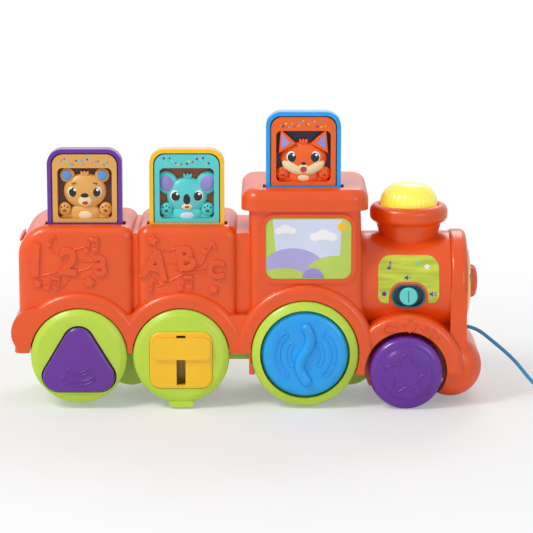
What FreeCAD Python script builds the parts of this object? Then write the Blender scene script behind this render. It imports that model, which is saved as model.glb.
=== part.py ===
import FreeCAD, Part
import math
import os
import Sketcher

# A pull along toy train with three pop up animal windows. Millimetres, +X to the front, +Z up.
# The near side, with the buttons, faces -Y. The origin is under the middle of the train on the floor.

SIZES = {
    # Body shell
    "rear_reach": 182.3,
    "coach_half": 46.0,
    "shell_wall": 2.4,
    "coach_top": 147.5,
    "coach_one_length": 92.0,
    "coach_gap": 2.2,
    "coach_two_length": 80.0,
    "cab_gap": 9.3,
    "cab_length": 91.0,
    "boiler_length": 70.0,
    "boiler_radius": 41.0,
    "boiler_height": 94.0,
    "cab_top": 160.0,
    "link_top": 141.0,
    "link_inset": 5.0,
    "skirt_height": 45.5,
    "cab_skirt_height": 28.0,
    "rear_top_round": 25.0,
    "front_top_round": 10.0,
    "coach_edge_round": 8.0,
    "cab_edge_round": 7.0,
    "core_half": 27.0,
    "core_lead": 15.8,
    "core_reach": 81.8,
    "core_top": 66.0,
    # Arches, discs and wheels
    "arch_face": 51.0,
    "arch_band": 13.2,
    "arch_round": 6.0,
    "disc_gap": 0.8,
    "disc_one_place": 47.8,
    "disc_two_place": 35.1,
    "disc_three_place": 44.5,
    "disc_height": 43.0,
    "small_disc_radius": 38.5,
    "large_disc_radius": 42.7,
    "disc_depth": 14.0,
    "disc_back": 38.4,
    "disc_wall": 2.4,
    "bumper_roll": 20.0,
    "rear_roll_height": 62.0,
    "wheel_place": 34.2,
    "wheel_radius": 29.5,
    "wheel_width": 24.0,
    "wheel_face": 58.0,
    "well_gap": 3.6,
    "fender_band": 13.5,
    "axle_radius": 3.0,
    "running_gap": 0.05,
    "bush_radius": 5.5,
    "front_roll": 25.0,
    "front_roll_lead": 1.1,
    "front_roll_height": 30.7,
    # Roof, funnel, face
    "roof_height": 17.2,
    "roof_half": 49.5,
    "roof_rear": 6.2,
    "roof_front": 3.7,
    "roof_round": 9.0,
    "roof_corner": 14.0,
    "funnel_place": 37.8,
    "funnel_radius": 31.4,
    "funnel_seat": 145.5,
    "funnel_top": 158.0,
    "cup_radius": 25.5,
    "dome_radius": 23.3,
    "dome_height": 16.0,
    "dome_travel": 2.5,
    "ring_radius": 42.5,
    "ring_depth": 12.0,
    "face_radius": 34.0,
    "face_bulge": 9.0,
    "nose_radius": 14.0,
    "nose_depth": 6.5,
    "cord_exit_drop": 37.2,
    "eyelet_collar": 1.4,
    "cord_radius": 1.5,
    # Pop up windows
    "popup_one_place": 53.1,
    "popup_two_place": 39.9,
    "popup_three_place": 43.1,
    "popup_half": 29.7,
    "popup_rise": 60.0,
    "popup_tail": 25.0,
    "popup_front": 36.0,
    "popup_depth": 12.0,
    "popup_corner": 12.0,
    "popup_rim": 3.2,
    "popup_gap": 0.9,
    "slot_play": 2.4,
    "rail_gap": 0.4,
    "rail_wall": 2.6,
    "spring_radius": 7.0,
    "latch_gap": 0.4,
    # Buttons
    "triangle_half": 38.0,
    "triangle_tip": 35.9,
    "triangle_base": 27.9,
    "button_round": 12.0,
    "button_gap": 1.0,
    "button_face": 57.5,
    "square_half": 25.2,
    "square_height": 46.6,
    "bar_height": 17.6,
    "groove_half": 3.6,
    "knob_radius": 34.8,
    "switch_height": 89.7,
    "switch_half": 12.6,
    "switch_rise": 8.6,
    "slide_knob_radius": 7.3,
    # Underframe
    "floor_thick": 2.4,
    "tub_half": 33.0,
    "tub_bottom": 36.5,
    "housing_radius": 20.5,
    "housing_height": 32.5,
    "housing_half": 20.0,
    "housing_one": 88.0,
    "housing_two": 10.2,
    "bay_lead": 1.2,
    "speaker_place": 34.8,
    "cell_radius": 7.2,
    "cell_length": 50.4,
    "roller_radius": 9.0,
    "roller_width": 6.0,
    "roller_pin": 1.6,
    "tab_reach": 41.6,
    "tab_half": 9.7,
}

document = FreeCAD.newDocument("PopUpTrain")
sheet = document.addObject("Spreadsheet::Sheet", "Sizes")
for row, (alias, value) in enumerate(SIZES.items(), 1):
    sheet.set("A%d" % row, alias)
    sheet.set("B%d" % row, str(value))
    sheet.setAlias("B%d" % row, alias)
document.recompute()


class Size:
    """A length together with the sheet expression that it comes from."""

    def __init__(self, value, text=None):
        self.value = float(value)
        self.text = text or "(%r)" % float(value)

    def joined(self, sign, other, value, swap=False):
        other = sized(other)
        first, second = (other, self) if swap else (self, other)
        return Size(value, "(%s %s %s)" % (first.text, sign, second.text))

    def __add__(self, other):
        return self.joined("+", other, self.value + float(other))

    def __radd__(self, other):
        return self.joined("+", other, self.value + float(other), True)

    def __sub__(self, other):
        return self.joined("-", other, self.value - float(other))

    def __rsub__(self, other):
        return self.joined("-", other, float(other) - self.value, True)

    def __mul__(self, other):
        return self.joined("*", other, self.value * float(other))

    def __rmul__(self, other):
        return self.joined("*", other, self.value * float(other), True)

    def __truediv__(self, other):
        return self.joined("/", other, self.value / float(other))

    def __neg__(self):
        return Size(-self.value, "(0 - %s)" % self.text)

    def __float__(self):
        return self.value


def sized(number):
    return number if isinstance(number, Size) else Size(number)


class Sheet:
    """Gives each named size of the sheet as an attribute."""

    def __getattr__(self, alias):
        return Size(SIZES[alias], "Sizes.%s" % alias)


s = Sheet()
parts = {}
NEAR = FreeCAD.Rotation(FreeCAD.Vector(1, 0, 0), 90)
ALONG_X = FreeCAD.Rotation(FreeCAD.Vector(0, 1, 0), 90)
UPRIGHT = FreeCAD.Rotation()


def bind(item, **sizes):
    """Ties each named property to its sheet expression."""
    for name, size in sizes.items():
        item.setExpression(name, sized(size).text)
    return item


def place(item, x=0, y=0, z=0, turn=UPRIGHT):
    item.Placement = FreeCAD.Placement(FreeCAD.Vector(), turn)
    for axis, size in (("x", x), ("y", y), ("z", z)):
        item.setExpression("Placement.Base.%s" % axis, sized(size).text)
    return item


def box(name, x, y, z, length, width, height):
    item = document.addObject("Part::Box", name)
    bind(item, Length=length, Width=width, Height=height)
    return place(item, x, y, z)


def rod(name, radius, length, x, y, z, turn=UPRIGHT):
    item = document.addObject("Part::Cylinder", name)
    bind(item, Radius=radius, Height=length)
    return place(item, x, y, z, turn)


def fuse(name, *items):
    item = document.addObject("Part::MultiFuse", name)
    item.Shapes = list(items)
    return item


def cut(name, base, *tools):
    item = document.addObject("Part::Cut", name)
    item.Base = base
    item.Tool = tools[0] if len(tools) == 1 else fuse(name + "_tools", *tools)
    return item


def common(name, base, tool):
    item = document.addObject("Part::Common", name)
    item.Base = base
    item.Tool = tool
    return item


def mirrored(name, source):
    """The same piece on the far side."""
    item = document.addObject("Part::Mirroring", name)
    item.Source = source
    item.Normal = FreeCAD.Vector(0, 1, 0)
    return item


def keep(label, item):
    """Names a finished sub-part."""
    item.Label = label
    parts[label] = item
    return item


def rounded_outline(sketch, corners):
    """A closed outline of straight runs. Each corner is (x, y, radius), tied to the sheet."""
    count = len(corners)
    points = [FreeCAD.Vector(float(x), float(y), 0) for x, y, _ in corners]
    radii = [float(radius) for _, _, radius in corners]
    starts, ends, centres = [], [], []
    for i in range(count):
        before = (points[i - 1] - points[i]).normalize()
        after = (points[(i + 1) % count] - points[i]).normalize()
        half = before.getAngle(after) / 2
        reach = radii[i] / math.tan(half)
        ends.append(points[i] + before * reach)
        starts.append(points[i] + after * reach)
        middle = (before + after).normalize()
        centres.append(points[i] + middle * (radii[i] / math.sin(half)))
    for i in range(count):
        after = (i + 1) % count
        sketch.addGeometry(Part.LineSegment(starts[i], ends[after]))
    corner_arc = {}
    for i in range(count):
        if radii[i]:
            corner_arc[i] = sketch.addGeometry(bend_arc(ends[i], centres[i], starts[i]))
    for i, (x, y, radius) in enumerate(corners):
        line_in, line_out = (i - 1) % count, i
        if i in corner_arc:
            arc = corner_arc[i]
            turned_left = sketch.getPoint(arc, 1).distanceToPoint(ends[i]) < 1e-6
            first, last = (1, 2) if turned_left else (2, 1)
            sketch.addConstraint(Sketcher.Constraint("Tangent", line_in, 2, arc, first))
            sketch.addConstraint(Sketcher.Constraint("Tangent", line_out, 1, arc, last))
            tie(sketch, Sketcher.Constraint("Radius", arc, float(radius)), radius)
            corner = sketch.addGeometry(Part.Point(points[i]), True)
            sketch.addConstraint(Sketcher.Constraint("PointOnObject", corner, 1, line_in))
            sketch.addConstraint(Sketcher.Constraint("PointOnObject", corner, 1, line_out))
            where = (corner, 1)
        else:
            sketch.addConstraint(Sketcher.Constraint("Coincident", line_in, 2, line_out, 1))
            where = (line_out, 1)
        tie(sketch, Sketcher.Constraint("DistanceX", -1, 1, *where, float(x)), x)
        tie(sketch, Sketcher.Constraint("DistanceY", -1, 1, *where, float(y)), y)


def bend_arc(first, centre, last):
    """An arc between two points, always anticlockwise."""
    start, end = first - centre, last - centre
    if start.cross(end).z < 0:
        start, end = end, start
    circle = Part.Circle(centre, FreeCAD.Vector(0, 0, 1), start.Length)
    low, high = math.atan2(start.y, start.x), math.atan2(end.y, end.x)
    return Part.ArcOfCircle(circle, low, high if high > low else high + 2 * math.pi)


def tie(sketch, constraint, size):
    index = sketch.addConstraint(constraint)
    if isinstance(size, Size):
        sketch.setExpression("Constraints[%d]" % index, size.text)


def sketched_body(name, role, corners):
    body = document.addObject("PartDesign::Body", name)
    sketch = body.newObject("Sketcher::SketchObject", name + "_outline")
    plane = next(f for f in body.Origin.OriginFeatures if f.Role == role)
    sketch.AttachmentSupport = [(plane, "")]
    sketch.MapMode = "FlatFace"
    rounded_outline(sketch, corners)
    return body, sketch


def padded(name, role, corners, length, symmetric=False):
    """A plate or block with the outline of the corners."""
    body, sketch = sketched_body(name, role, corners)
    pad = body.newObject("PartDesign::Pad", name + "_pad")
    pad.Profile = sketch
    if symmetric:
        pad.SideType = "Symmetric"
    bind(pad, Length=length)
    document.recompute()
    return body


def turned(name, corners):
    """A turned piece about its own Z axis. Each corner is (radius, height, round)."""
    body, sketch = sketched_body(name, "XZ_Plane", corners)
    spin = body.newObject("PartDesign::Revolution", name + "_turn")
    spin.Profile = sketch
    spin.ReferenceAxis = (sketch, ["V_Axis"])
    spin.Angle = 360
    document.recompute()
    return body


def eased(body, radius, chosen):
    """Rounds the edges of the body for which chosen(edge) holds."""
    base = body.Tip
    edges = [
        "Edge%d" % (i + 1) for i, edge in enumerate(base.Shape.Edges) if chosen(edge)
    ]
    soft = body.newObject("PartDesign::Fillet", body.Name + "_round")
    soft.Base = (base, edges)
    bind(soft, Radius=radius)
    body.Tip = soft
    document.recompute()
    return body


def at_side(edge):
    """Whether an edge lies in a plane of constant Y."""
    return edge.BoundBox.YLength < 1e-6


def rectangle(x0, x1, y0, y1, *radii):
    """Corners of a rectangle from lower left, anticlockwise."""
    a, b, c, d = radii if len(radii) == 4 else radii * 4
    return [(x0, y0, a), (x1, y0, b), (x1, y1, c), (x0, y1, d)]


# Stations along the train
coach_one_rear = -s.rear_reach
coach_one_front = coach_one_rear + s.coach_one_length
coach_two_rear = coach_one_front + s.coach_gap
coach_two_front = coach_two_rear + s.coach_two_length
cab_rear = coach_two_front + s.cab_gap
cab_front = cab_rear + s.cab_length
boiler_front = cab_front + s.boiler_length
disc_x = [
    coach_one_rear + s.disc_one_place,
    coach_two_rear + s.disc_two_place,
    cab_rear + s.disc_three_place,
]
disc_radius = [s.small_disc_radius, s.small_disc_radius, s.large_disc_radius]
disc_z = [s.disc_height, s.disc_height, s.disc_height + 2]
wheel_x = cab_front + s.wheel_place
funnel_x = cab_front + s.funnel_place
popup_x = [
    coach_one_rear + s.popup_one_place,
    coach_two_rear + s.popup_two_place,
    cab_rear + s.popup_three_place,
]
popup_seat = [s.coach_top, s.coach_top, s.cab_top + s.roof_height]
core_front = cab_front + s.core_reach
core_rear = cab_front + s.core_lead
front_roll_x = boiler_front + s.front_roll_lead
cord_exit_z = s.boiler_height - s.cord_exit_drop
housing_x = [coach_one_rear + s.housing_one, cab_front - s.housing_two]
bay_x = cab_rear - s.bay_lead


def coach(name, rear, front, inset, rear_round):
    """A coach block. The inset gives the hollow inside the same walls, open below."""
    low = s.skirt_height - inset * 4
    body = padded(
        name,
        "XZ_Plane",
        [
            (rear + inset, low, 0),
            (front - inset, low, 0),
            (front - inset, s.coach_top - inset, s.front_top_round - inset),
            (rear + inset, s.coach_top - inset, rear_round - inset),
        ],
        (s.coach_half - inset) * 2,
        symmetric=True,
    )
    return eased(body, s.coach_edge_round - inset, lambda e: at_side(e) and above(e, low))


def above(edge, height):
    """Whether any of an edge lies above the height."""
    return edge.BoundBox.ZMax > float(height) + 1


def cab(name, inset):
    low = s.cab_skirt_height - inset * 4
    body = padded(
        name,
        "XZ_Plane",
        [
            (cab_rear + inset, low, 0),
            (cab_front + 2.5 - inset, low, 0),
            (cab_front - 2.5 - inset, s.cab_top + inset, 0),
            (cab_rear + inset, s.cab_top + inset, 0),
        ],
        (s.coach_half - inset) * 2,
        symmetric=True,
    )
    return eased(body, s.cab_edge_round - inset, lambda e: at_side(e) and upright(e))


def upright(edge):
    return edge.BoundBox.ZLength > 20


def link(name, rear, front, inset):
    """The narrow neck between two coaches."""
    half = s.coach_half - s.link_inset - inset
    low = s.skirt_height - inset * 4
    height = s.link_top - inset - low
    return box(name, rear, -half, low, front - rear, half * 2, height)


def hull(name, inset):
    """The body block, or with an inset the hollow inside it."""
    reach = s.coach_edge_round * 2
    lap = s.shell_wall * 2
    items = [
        coach(name + "_one", coach_one_rear, coach_one_front, inset, s.rear_top_round),
        coach(name + "_two", coach_two_rear, coach_two_front, inset, s.front_top_round),
        cab(name + "_cab", inset),
        link(name + "_link_one", coach_one_front - reach, coach_two_rear + reach, inset),
        link(name + "_link_two", coach_two_front - reach, cab_rear + reach, inset),
        rod(
            name + "_boiler",
            s.boiler_radius - inset,
            s.boiler_length + lap - inset,
            cab_front - lap,
            0,
            s.boiler_height,
            ALONG_X,
        ),
        box(
            name + "_core",
            core_rear + inset,
            inset - s.core_half,
            s.cab_skirt_height + inset,
            core_front - core_rear - inset * 2,
            (s.core_half - inset) * 2,
            s.core_top - s.cab_skirt_height - inset * 2,
        ),
        rod(
            name + "_roll",
            s.bumper_roll - inset,
            (s.arch_face - inset) * 2,
            -(s.rear_reach - s.bumper_roll + 6),
            s.arch_face - inset,
            s.rear_roll_height,
            NEAR,
        ),
    ]
    return fuse(name, *items)


def fender(name, grow):
    """The ring over the front wheel."""
    outer = s.wheel_radius + s.well_gap + s.fender_band + grow
    drum = turned(
        name,
        [
            (s.axle_radius, s.core_half - 1, 0),
            (outer, s.core_half - 1, 0),
            (outer, s.arch_face - 1.5, s.arch_round),
            (s.axle_radius, s.arch_face - 1.5, 0),
        ],
    )
    return place(drum, wheel_x, 0, s.wheel_radius, NEAR)


def arch(i):
    """The soft lip over a disc, a thick ring on the near wall."""
    outer = disc_radius[i] + s.arch_band
    ring = turned(
        "arch_%d" % i,
        [
            (disc_radius[i] - 1, s.coach_half - s.shell_wall, 0),
            (outer, s.coach_half - s.shell_wall, 0),
            (outer, s.arch_face, s.arch_round),
            (disc_radius[i] - 1, s.arch_face, 0),
        ],
    )
    return place(ring, disc_x[i], 0, disc_z[i], NEAR)


def web(i):
    """The filled corner between two arches, with a round top."""
    middle = (disc_x[i] + disc_x[i + 1]) / 2
    low = s.skirt_height
    return padded_near(
        "web_%d" % i,
        rectangle(middle - 13, middle + 13, low, s.disc_height + 33, 0, 0, 6, 6),
        s.coach_half - s.shell_wall,
        s.arch_face - 1.5,
    )


def padded_near(name, corners, inner, outer):
    """A plate seen from the near side, between two distances from the middle plane."""
    body = padded(name, "XY_Plane", corners, outer - inner)
    return place(body, 0, -inner, 0, NEAR)


def near_half():
    """One half of the shell, with its arches, disc seats and wheel well."""
    half = box("half_space", -300, -100, -20, 600, 100, 310)
    outer = fuse("hull_fender", hull("hull_outer", 0), fender("fender_drum", 0))
    shell = cut("hull_shell", outer, hull("hull_hollow", s.shell_wall))
    shell = common("hull_half", shell, half)
    arches = [arch(i) for i in range(3)] + [web(0), web(1)]
    shell = fuse("hull_arched", shell, *arches)
    tools = []
    for i in range(3):
        seat = disc_radius[i] + s.disc_gap
        depth = s.arch_face - s.link_inset * 2 + 6
        tools.append(
            rod("seat_%d" % i, seat, depth, disc_x[i], 10 - s.coach_half, disc_z[i], NEAR)
        )
    tools.append(
        rod(
            "wheel_well",
            s.wheel_radius + s.well_gap,
            s.wheel_face,
            wheel_x,
            -s.core_half,
            s.wheel_radius,
            NEAR,
        )
    )
    tools.append(
        rod("bush_hole", s.bush_radius, s.core_half, wheel_x, -15, s.wheel_radius, NEAR)
    )
    tools.append(
        box("housing_way", housing_x[1] - 22, -25, 0, core_rear - housing_x[1] + 22, 25,
            s.skirt_height + 9)
    )
    tools.append(rod("lamp_way", 5, 20, funnel_x, 0, s.boiler_height + 30))
    tools.append(cord_way("shell_cord_way"))
    tools.append(
        rod("ring_seat", s.ring_radius + 0.05, 30, boiler_front, 0, s.boiler_height, ALONG_X)
    )
    tools.append(
        rod("axle_way", s.axle_radius + 1, s.core_half, wheel_x, 0, s.wheel_radius, NEAR)
    )
    tools.append(bumper_form("bumper_seat", 0.1))
    rear_low = box("below_coaches", -300, -100, -20, 0, 100, 0)
    bind(rear_low, Length=cab_rear + 300, Height=s.skirt_height + 20)
    tools.append(rear_low)
    front_low = box("below_cab", bay_x, -100, -20, 300, 100, s.cab_skirt_height + 20)
    tools.append(front_low)
    return cut("half_shell", shell, *tools)


def cord_way(name):
    """The bore that the pull cord leaves by."""
    return rod(name, s.cord_radius + 0.3, 40, core_front - 20, 0, cord_exit_z, ALONG_X)


def popup_slot(i):
    half = s.popup_half + s.slot_play
    return box(
        "popup_slot_%d" % i,
        popup_x[i] - half,
        -(s.popup_front + 1.5),
        popup_seat[i] - 20,
        half * 2,
        s.popup_depth + 3,
        30,
    )


def switch_outline(grow):
    """An oval hole for the sliding knob, drawn about the row's own origin."""
    wide, tall = s.switch_half + grow, s.switch_rise + grow
    x = wheel_x + 2
    return rectangle(
        x - wide, x + wide, s.switch_height - tall, s.switch_height + tall, tall - 0.05
    )


def shells():
    base = near_half()
    far = keep("far_shell", mirrored("far_half", base))
    lip_x0, lip_x1 = popup_x[2] - 33.2, popup_x[2] + 41.2
    lip_outer = rectangle(lip_x0, lip_x1, 101.8, 157.5, 11, 11, 11, 11)
    lip_inner = rectangle(lip_x0 + 3, lip_x1 - 3, 104.8, 154.5, 8, 8, 8, 8)
    lip = cut(
        "window_lip",
        padded_near("lip_block", lip_outer, s.coach_half - 1, s.coach_half + 1.5),
        padded_near("lip_hole", lip_inner, s.coach_half - 2, s.coach_half + 3),
    )
    near = fuse("near_lipped", base, lip)
    hole = padded_near("switch_hole", switch_outline(1.25), 20, 60)
    near = cut("near_half", near, popup_slot(0), popup_slot(1), hole)
    keep("near_shell", near)
    panel = padded_near(
        "window_plate",
        rectangle(lip_x0 + 3.2, lip_x1 - 3.2, 105, 154.3, 7.8, 7.8, 7.8, 7.8),
        s.coach_half,
        s.coach_half + 0.8,
    )
    keep("window_panel", panel)
    return far


def roof():
    rear, front = cab_rear - s.roof_rear, cab_front + s.roof_front

    def block(name, inset, low=0):
        body = padded(
            name,
            "XY_Plane",
            rectangle(
                rear + inset,
                front - inset,
                inset - s.roof_half,
                s.roof_half - inset,
                s.roof_corner - inset,
            ),
            s.roof_height - inset - low,
        )
        top = float(s.roof_height - inset - low)
        eased(body, s.roof_round - inset, lambda e: e.BoundBox.ZMin > top - 0.01)
        return place(body, 0, 0, s.cab_top + low)

    mouth = box("roof_mouth", cab_rear + 5, 7 - s.coach_half, s.cab_top - 1,
                s.cab_length - 12, s.coach_half * 2 - 14, 6)
    hollow = block("roof_inner", s.shell_wall, s.shell_wall)
    tray = cut("roof_cap", block("roof_outer", 0), hollow, mouth)
    slot = box(
        "roof_slot",
        popup_x[2] - s.popup_half - s.slot_play,
        -(s.popup_front + 1.5),
        s.cab_top - 5,
        (s.popup_half + s.slot_play) * 2,
        s.popup_depth + 3,
        40,
    )
    keep("cab_roof", cut("roof", tray, slot))


def front_pieces():
    lip = s.ring_radius - s.face_radius
    ring = turned(
        "ring_turn",
        [
            (s.face_radius, 0, 0),
            (s.ring_radius, 0, 3),
            (s.ring_radius, s.ring_depth, 5),
            (s.ring_radius - lip / 2, s.ring_depth + 2, 2),
            (s.face_radius, s.ring_depth, 0),
        ],
    )
    place(ring, boiler_front, 0, s.boiler_height, ALONG_X)
    leg = box(
        "ring_leg",
        boiler_front,
        -(s.ring_radius - 0.5),
        s.skirt_height + 1,
        s.ring_depth + 1,
        8,
        s.boiler_height - s.skirt_height,
    )
    legs = fuse("ring_legs", leg, mirrored("ring_leg_far", leg))
    trim = rod(
        "ring_trim",
        s.face_radius,
        s.ring_depth + 10,
        boiler_front - 2,
        0,
        s.boiler_height,
        ALONG_X,
    )
    drum = fender("ring_fender", 0.1)
    arcs = fuse("ring_arcs", drum, mirrored("ring_fender_far", drum))
    seat = bumper_form("ring_bumper", 0.1)
    way = cord_way("ring_cord_way")
    nest = rod("eyelet_nest", s.cord_radius + s.eyelet_collar + 0.05, 20, core_front, 0,
               cord_exit_z, ALONG_X)
    keep("face_ring", cut("ring", fuse("ring_whole", ring, legs), trim, arcs, seat, way, nest))
    face = turned(
        "face_turn",
        [
            (0, 0, 0),
            (s.face_radius - 0.2, 0, 0),
            (s.face_radius - 0.2, s.ring_depth - 4, 0),
            (s.face_radius * 0.55, s.ring_depth + s.face_bulge * 0.3, 30),
            (0, s.ring_depth + s.face_bulge * 0.6, 0),
        ],
    )
    place(face, boiler_front, 0, s.boiler_height, ALONG_X)
    socket = rod("nose_socket", s.nose_radius + 0.05, 20, boiler_front + s.ring_depth, 0,
                 s.boiler_height, ALONG_X)
    keep("face_plate", cut("face_cut", face, socket))
    nose_back = boiler_front + s.ring_depth
    depth = s.nose_depth + s.face_bulge * 0.6
    nose = turned(
        "nose_turn",
        [
            (0, 0, 0),
            (s.nose_radius, 0, 1),
            (s.nose_radius, depth, 2.5),
            (0, depth, 0),
        ],
    )
    place(nose, nose_back, 0, s.boiler_height, ALONG_X)
    keep("nose", nose)
    hollow = box(
        "bumper_hollow",
        boiler_front - 60,
        -(s.core_half + 0.05),
        -10,
        core_front - boiler_front + 60,
        (s.core_half + 0.05) * 2,
        s.core_top + 10,
    )
    well = rod(
        "bumper_well",
        s.wheel_radius + s.well_gap,
        200,
        wheel_x,
        100,
        s.wheel_radius,
        NEAR,
    )
    notch = rod("bumper_notch", s.cord_radius + s.eyelet_collar + 0.3, 30, core_front, 0,
                cord_exit_z, ALONG_X)
    keep("front_bumper", cut("bumper", bumper_form("bumper_soft", 0), hollow, well, notch))


def bumper_form(name, grow):
    """The soft roll across the front."""
    half = s.coach_half + grow
    soft = turned(
        name,
        [
            (0, -half, 0),
            (s.front_roll + grow, -half, 18 + grow),
            (s.front_roll + grow, half, 18 + grow),
            (0, half, 0),
        ],
    )
    return place(soft, front_roll_x, 0, s.front_roll_height, NEAR)


def funnel_pieces():
    outer = turned(
        "funnel_turn",
        [
            (s.cup_radius - 3.5, s.funnel_seat - 25, 0),
            (s.cup_radius - 3.5, s.funnel_seat - 18, 8),
            (s.cup_radius + 1, s.funnel_seat - 2, 3),
            (s.funnel_radius, s.funnel_seat, 5),
            (s.funnel_radius, s.funnel_top, 5.5),
            (s.dome_radius + 1, s.funnel_top, 1.2),
            (s.dome_radius + 1, s.funnel_seat + 1, 0),
            (s.cup_radius - 6, s.funnel_seat + 1, 0),
            (s.cup_radius - 6, s.funnel_seat - 25, 0),
        ],
    )
    place(outer, funnel_x, 0, 0)
    saddle = rod(
        "funnel_saddle",
        s.boiler_radius,
        200,
        cab_front - 20,
        0,
        s.boiler_height,
        ALONG_X,
    )
    keep("funnel", cut("funnel_cup", outer, saddle))
    low = s.funnel_seat + 1 + s.dome_travel + 1.5
    dome = turned(
        "dome_turn",
        [
            (s.dome_radius - 2.5, low, 0),
            (s.dome_radius, low, 0),
            (s.dome_radius, s.funnel_top + 3, 8),
            (s.dome_radius * 0.62, s.funnel_top + s.dome_height, 11),
            (0, s.funnel_top + s.dome_height + 1.5, 0),
            (0, s.funnel_top + s.dome_height - 1, 0),
            (s.dome_radius * 0.58, s.funnel_top + s.dome_height - 3, 9),
            (s.dome_radius - 2.5, s.funnel_top + 2, 6),
        ],
    )
    keep("light_dome", place(dome, funnel_x, 0, 0))
    spring = turned(
        "dome_spring_turn",
        [
            (s.dome_radius - 2.3, s.funnel_seat + 1, 0),
            (s.dome_radius - 0.6, s.funnel_seat + 1, 0),
            (s.dome_radius - 0.6, low, 0),
            (s.dome_radius - 2.3, low, 0),
        ],
    )
    keep("dome_spring", place(spring, funnel_x, 0, 0))
    keep("lamp", rod("lamp_body", 4, s.funnel_seat - 118, funnel_x, 0, 121.6))


def disc_cup(name, i, bore):
    """A domed disc with its front opening left as a bore, in its own turned frame."""
    radius, wall = disc_radius[i], s.disc_wall
    front = s.disc_back + s.disc_depth
    return place(
        turned(
            name,
            [
                (radius - wall, s.disc_back, 0),
                (radius, s.disc_back, 0),
                (radius, front - 1.5, 3.5),
                (radius - 5, front + 1.5, 4),
                (bore, front + 2.5, 0),
                (bore, front - 2, 0),
                (radius - wall, front - 2, 1.5),
            ],
        ),
        disc_x[i],
        0,
        disc_z[i],
        NEAR,
    )


def triangle(grow):
    """The round cornered triangle about disc one, grown by a gap."""
    x, z = disc_x[0], disc_z[0]
    radius = s.button_round + grow
    return [
        (x - s.triangle_half - grow * 1.9, z - s.triangle_base - grow, radius),
        (x + s.triangle_half + grow * 1.9, z - s.triangle_base - grow, radius),
        (x, z + s.triangle_tip + grow * 1.9, radius),
    ]


def square(grow):
    """The round cornered square about disc two."""
    x, z = disc_x[1], disc_z[1] - 2.4
    half, rise = s.square_half + grow, s.square_height / 2 + grow
    return rectangle(x - half, x + half, z - rise, z + rise, 9 + grow)


def discs():
    front = s.disc_back + s.disc_depth
    rear = disc_cup("rear_cup", 0, 3)
    hole = padded_near("rear_opening", triangle(s.button_gap), 30, 70)
    keep("rear_disc", cut("rear_disc_cut", rear, hole))
    middle = disc_cup("middle_cup", 1, 3)
    hole = padded_near("middle_opening", square(0.1), 30, 70)
    x, reach = disc_x[1], s.tab_reach
    tab_block = rod("tab_block", reach, 2.4, x, 2.4 - front, disc_z[1], NEAR)
    tab_side = box(
        "tab_side",
        x - s.tab_half,
        -(front + 5),
        -5,
        s.tab_half * 2,
        10,
        disc_z[1] - s.small_disc_radius + 7,
    )
    tab = common("middle_tab", tab_block, tab_side)
    pocket = box(
        "roller_pocket",
        x - s.roller_radius - 1,
        -(front - 5.5),
        -5,
        (s.roller_radius + 1) * 2,
        s.roller_width + 2,
        s.roller_radius * 2 + 7,
    )
    cup = cut("middle_cup_cut", middle, pocket)
    pin_boss = rod("pin_boss", 3.2, 4.2, x, 5.6 - front, s.roller_radius, NEAR)
    pin_boss = common("pin_boss_trim", pin_boss, middle_core())
    body = fuse("middle_with_tab", cup, tab, pin_boss)
    keep("middle_disc", cut("middle_disc_cut", body, hole, pin_hole()))
    plain = disc_cup("far_middle_cup", 1, 3)
    far = fuse("far_middle_near", cut("far_middle_cut", plain, pocket), tab)
    far = fuse("far_middle_bossed", far, pin_boss)
    cap = rod("far_middle_cap", 3.4, 3, x, 2 - front, disc_z[1], NEAR)
    far = cut("far_middle_drilled", fuse("far_middle_capped", far, cap), pin_hole())
    keep("far_middle_disc", mirrored("far_middle_disc_mirror", far))
    ring = disc_cup("large_cup", 2, s.knob_radius + 1)
    floor = rod("large_floor", disc_radius[2] - 1, 2.4, disc_x[2], 2.4 - s.disc_back - 2.4,
                disc_z[2], NEAR)
    bore = rod("large_bore", 6 + s.running_gap, 40, disc_x[2], -20, disc_z[2], NEAR)
    keep("large_disc", cut("large_disc_cut", fuse("large_whole", ring, floor), bore))
    plain = fuse(
        "far_plain",
        disc_cup("far_rear_cup", 0, 3),
        rod("far_rear_cap", 3.4, 3, disc_x[0], 2 - front, disc_z[0], NEAR),
    )
    keep("far_rear_disc", mirrored("far_rear_disc_mirror", plain))
    large = fuse(
        "far_large_plain",
        disc_cup("far_large_cup", 2, 3),
        rod("far_large_cap", 3.4, 3, disc_x[2], 2 - front, disc_z[2], NEAR),
    )
    keep("far_large_disc", mirrored("far_large_disc_mirror", large))


def middle_core():
    """The space inside the middle disc."""
    return rod(
        "middle_core",
        s.small_disc_radius - 0.5,
        60,
        disc_x[1],
        -s.disc_back,
        disc_z[1],
        NEAR,
    )


def pin_hole():
    return rod("pin_hole", s.roller_pin, 13, disc_x[1], -s.disc_back, s.roller_radius, NEAR)


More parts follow.
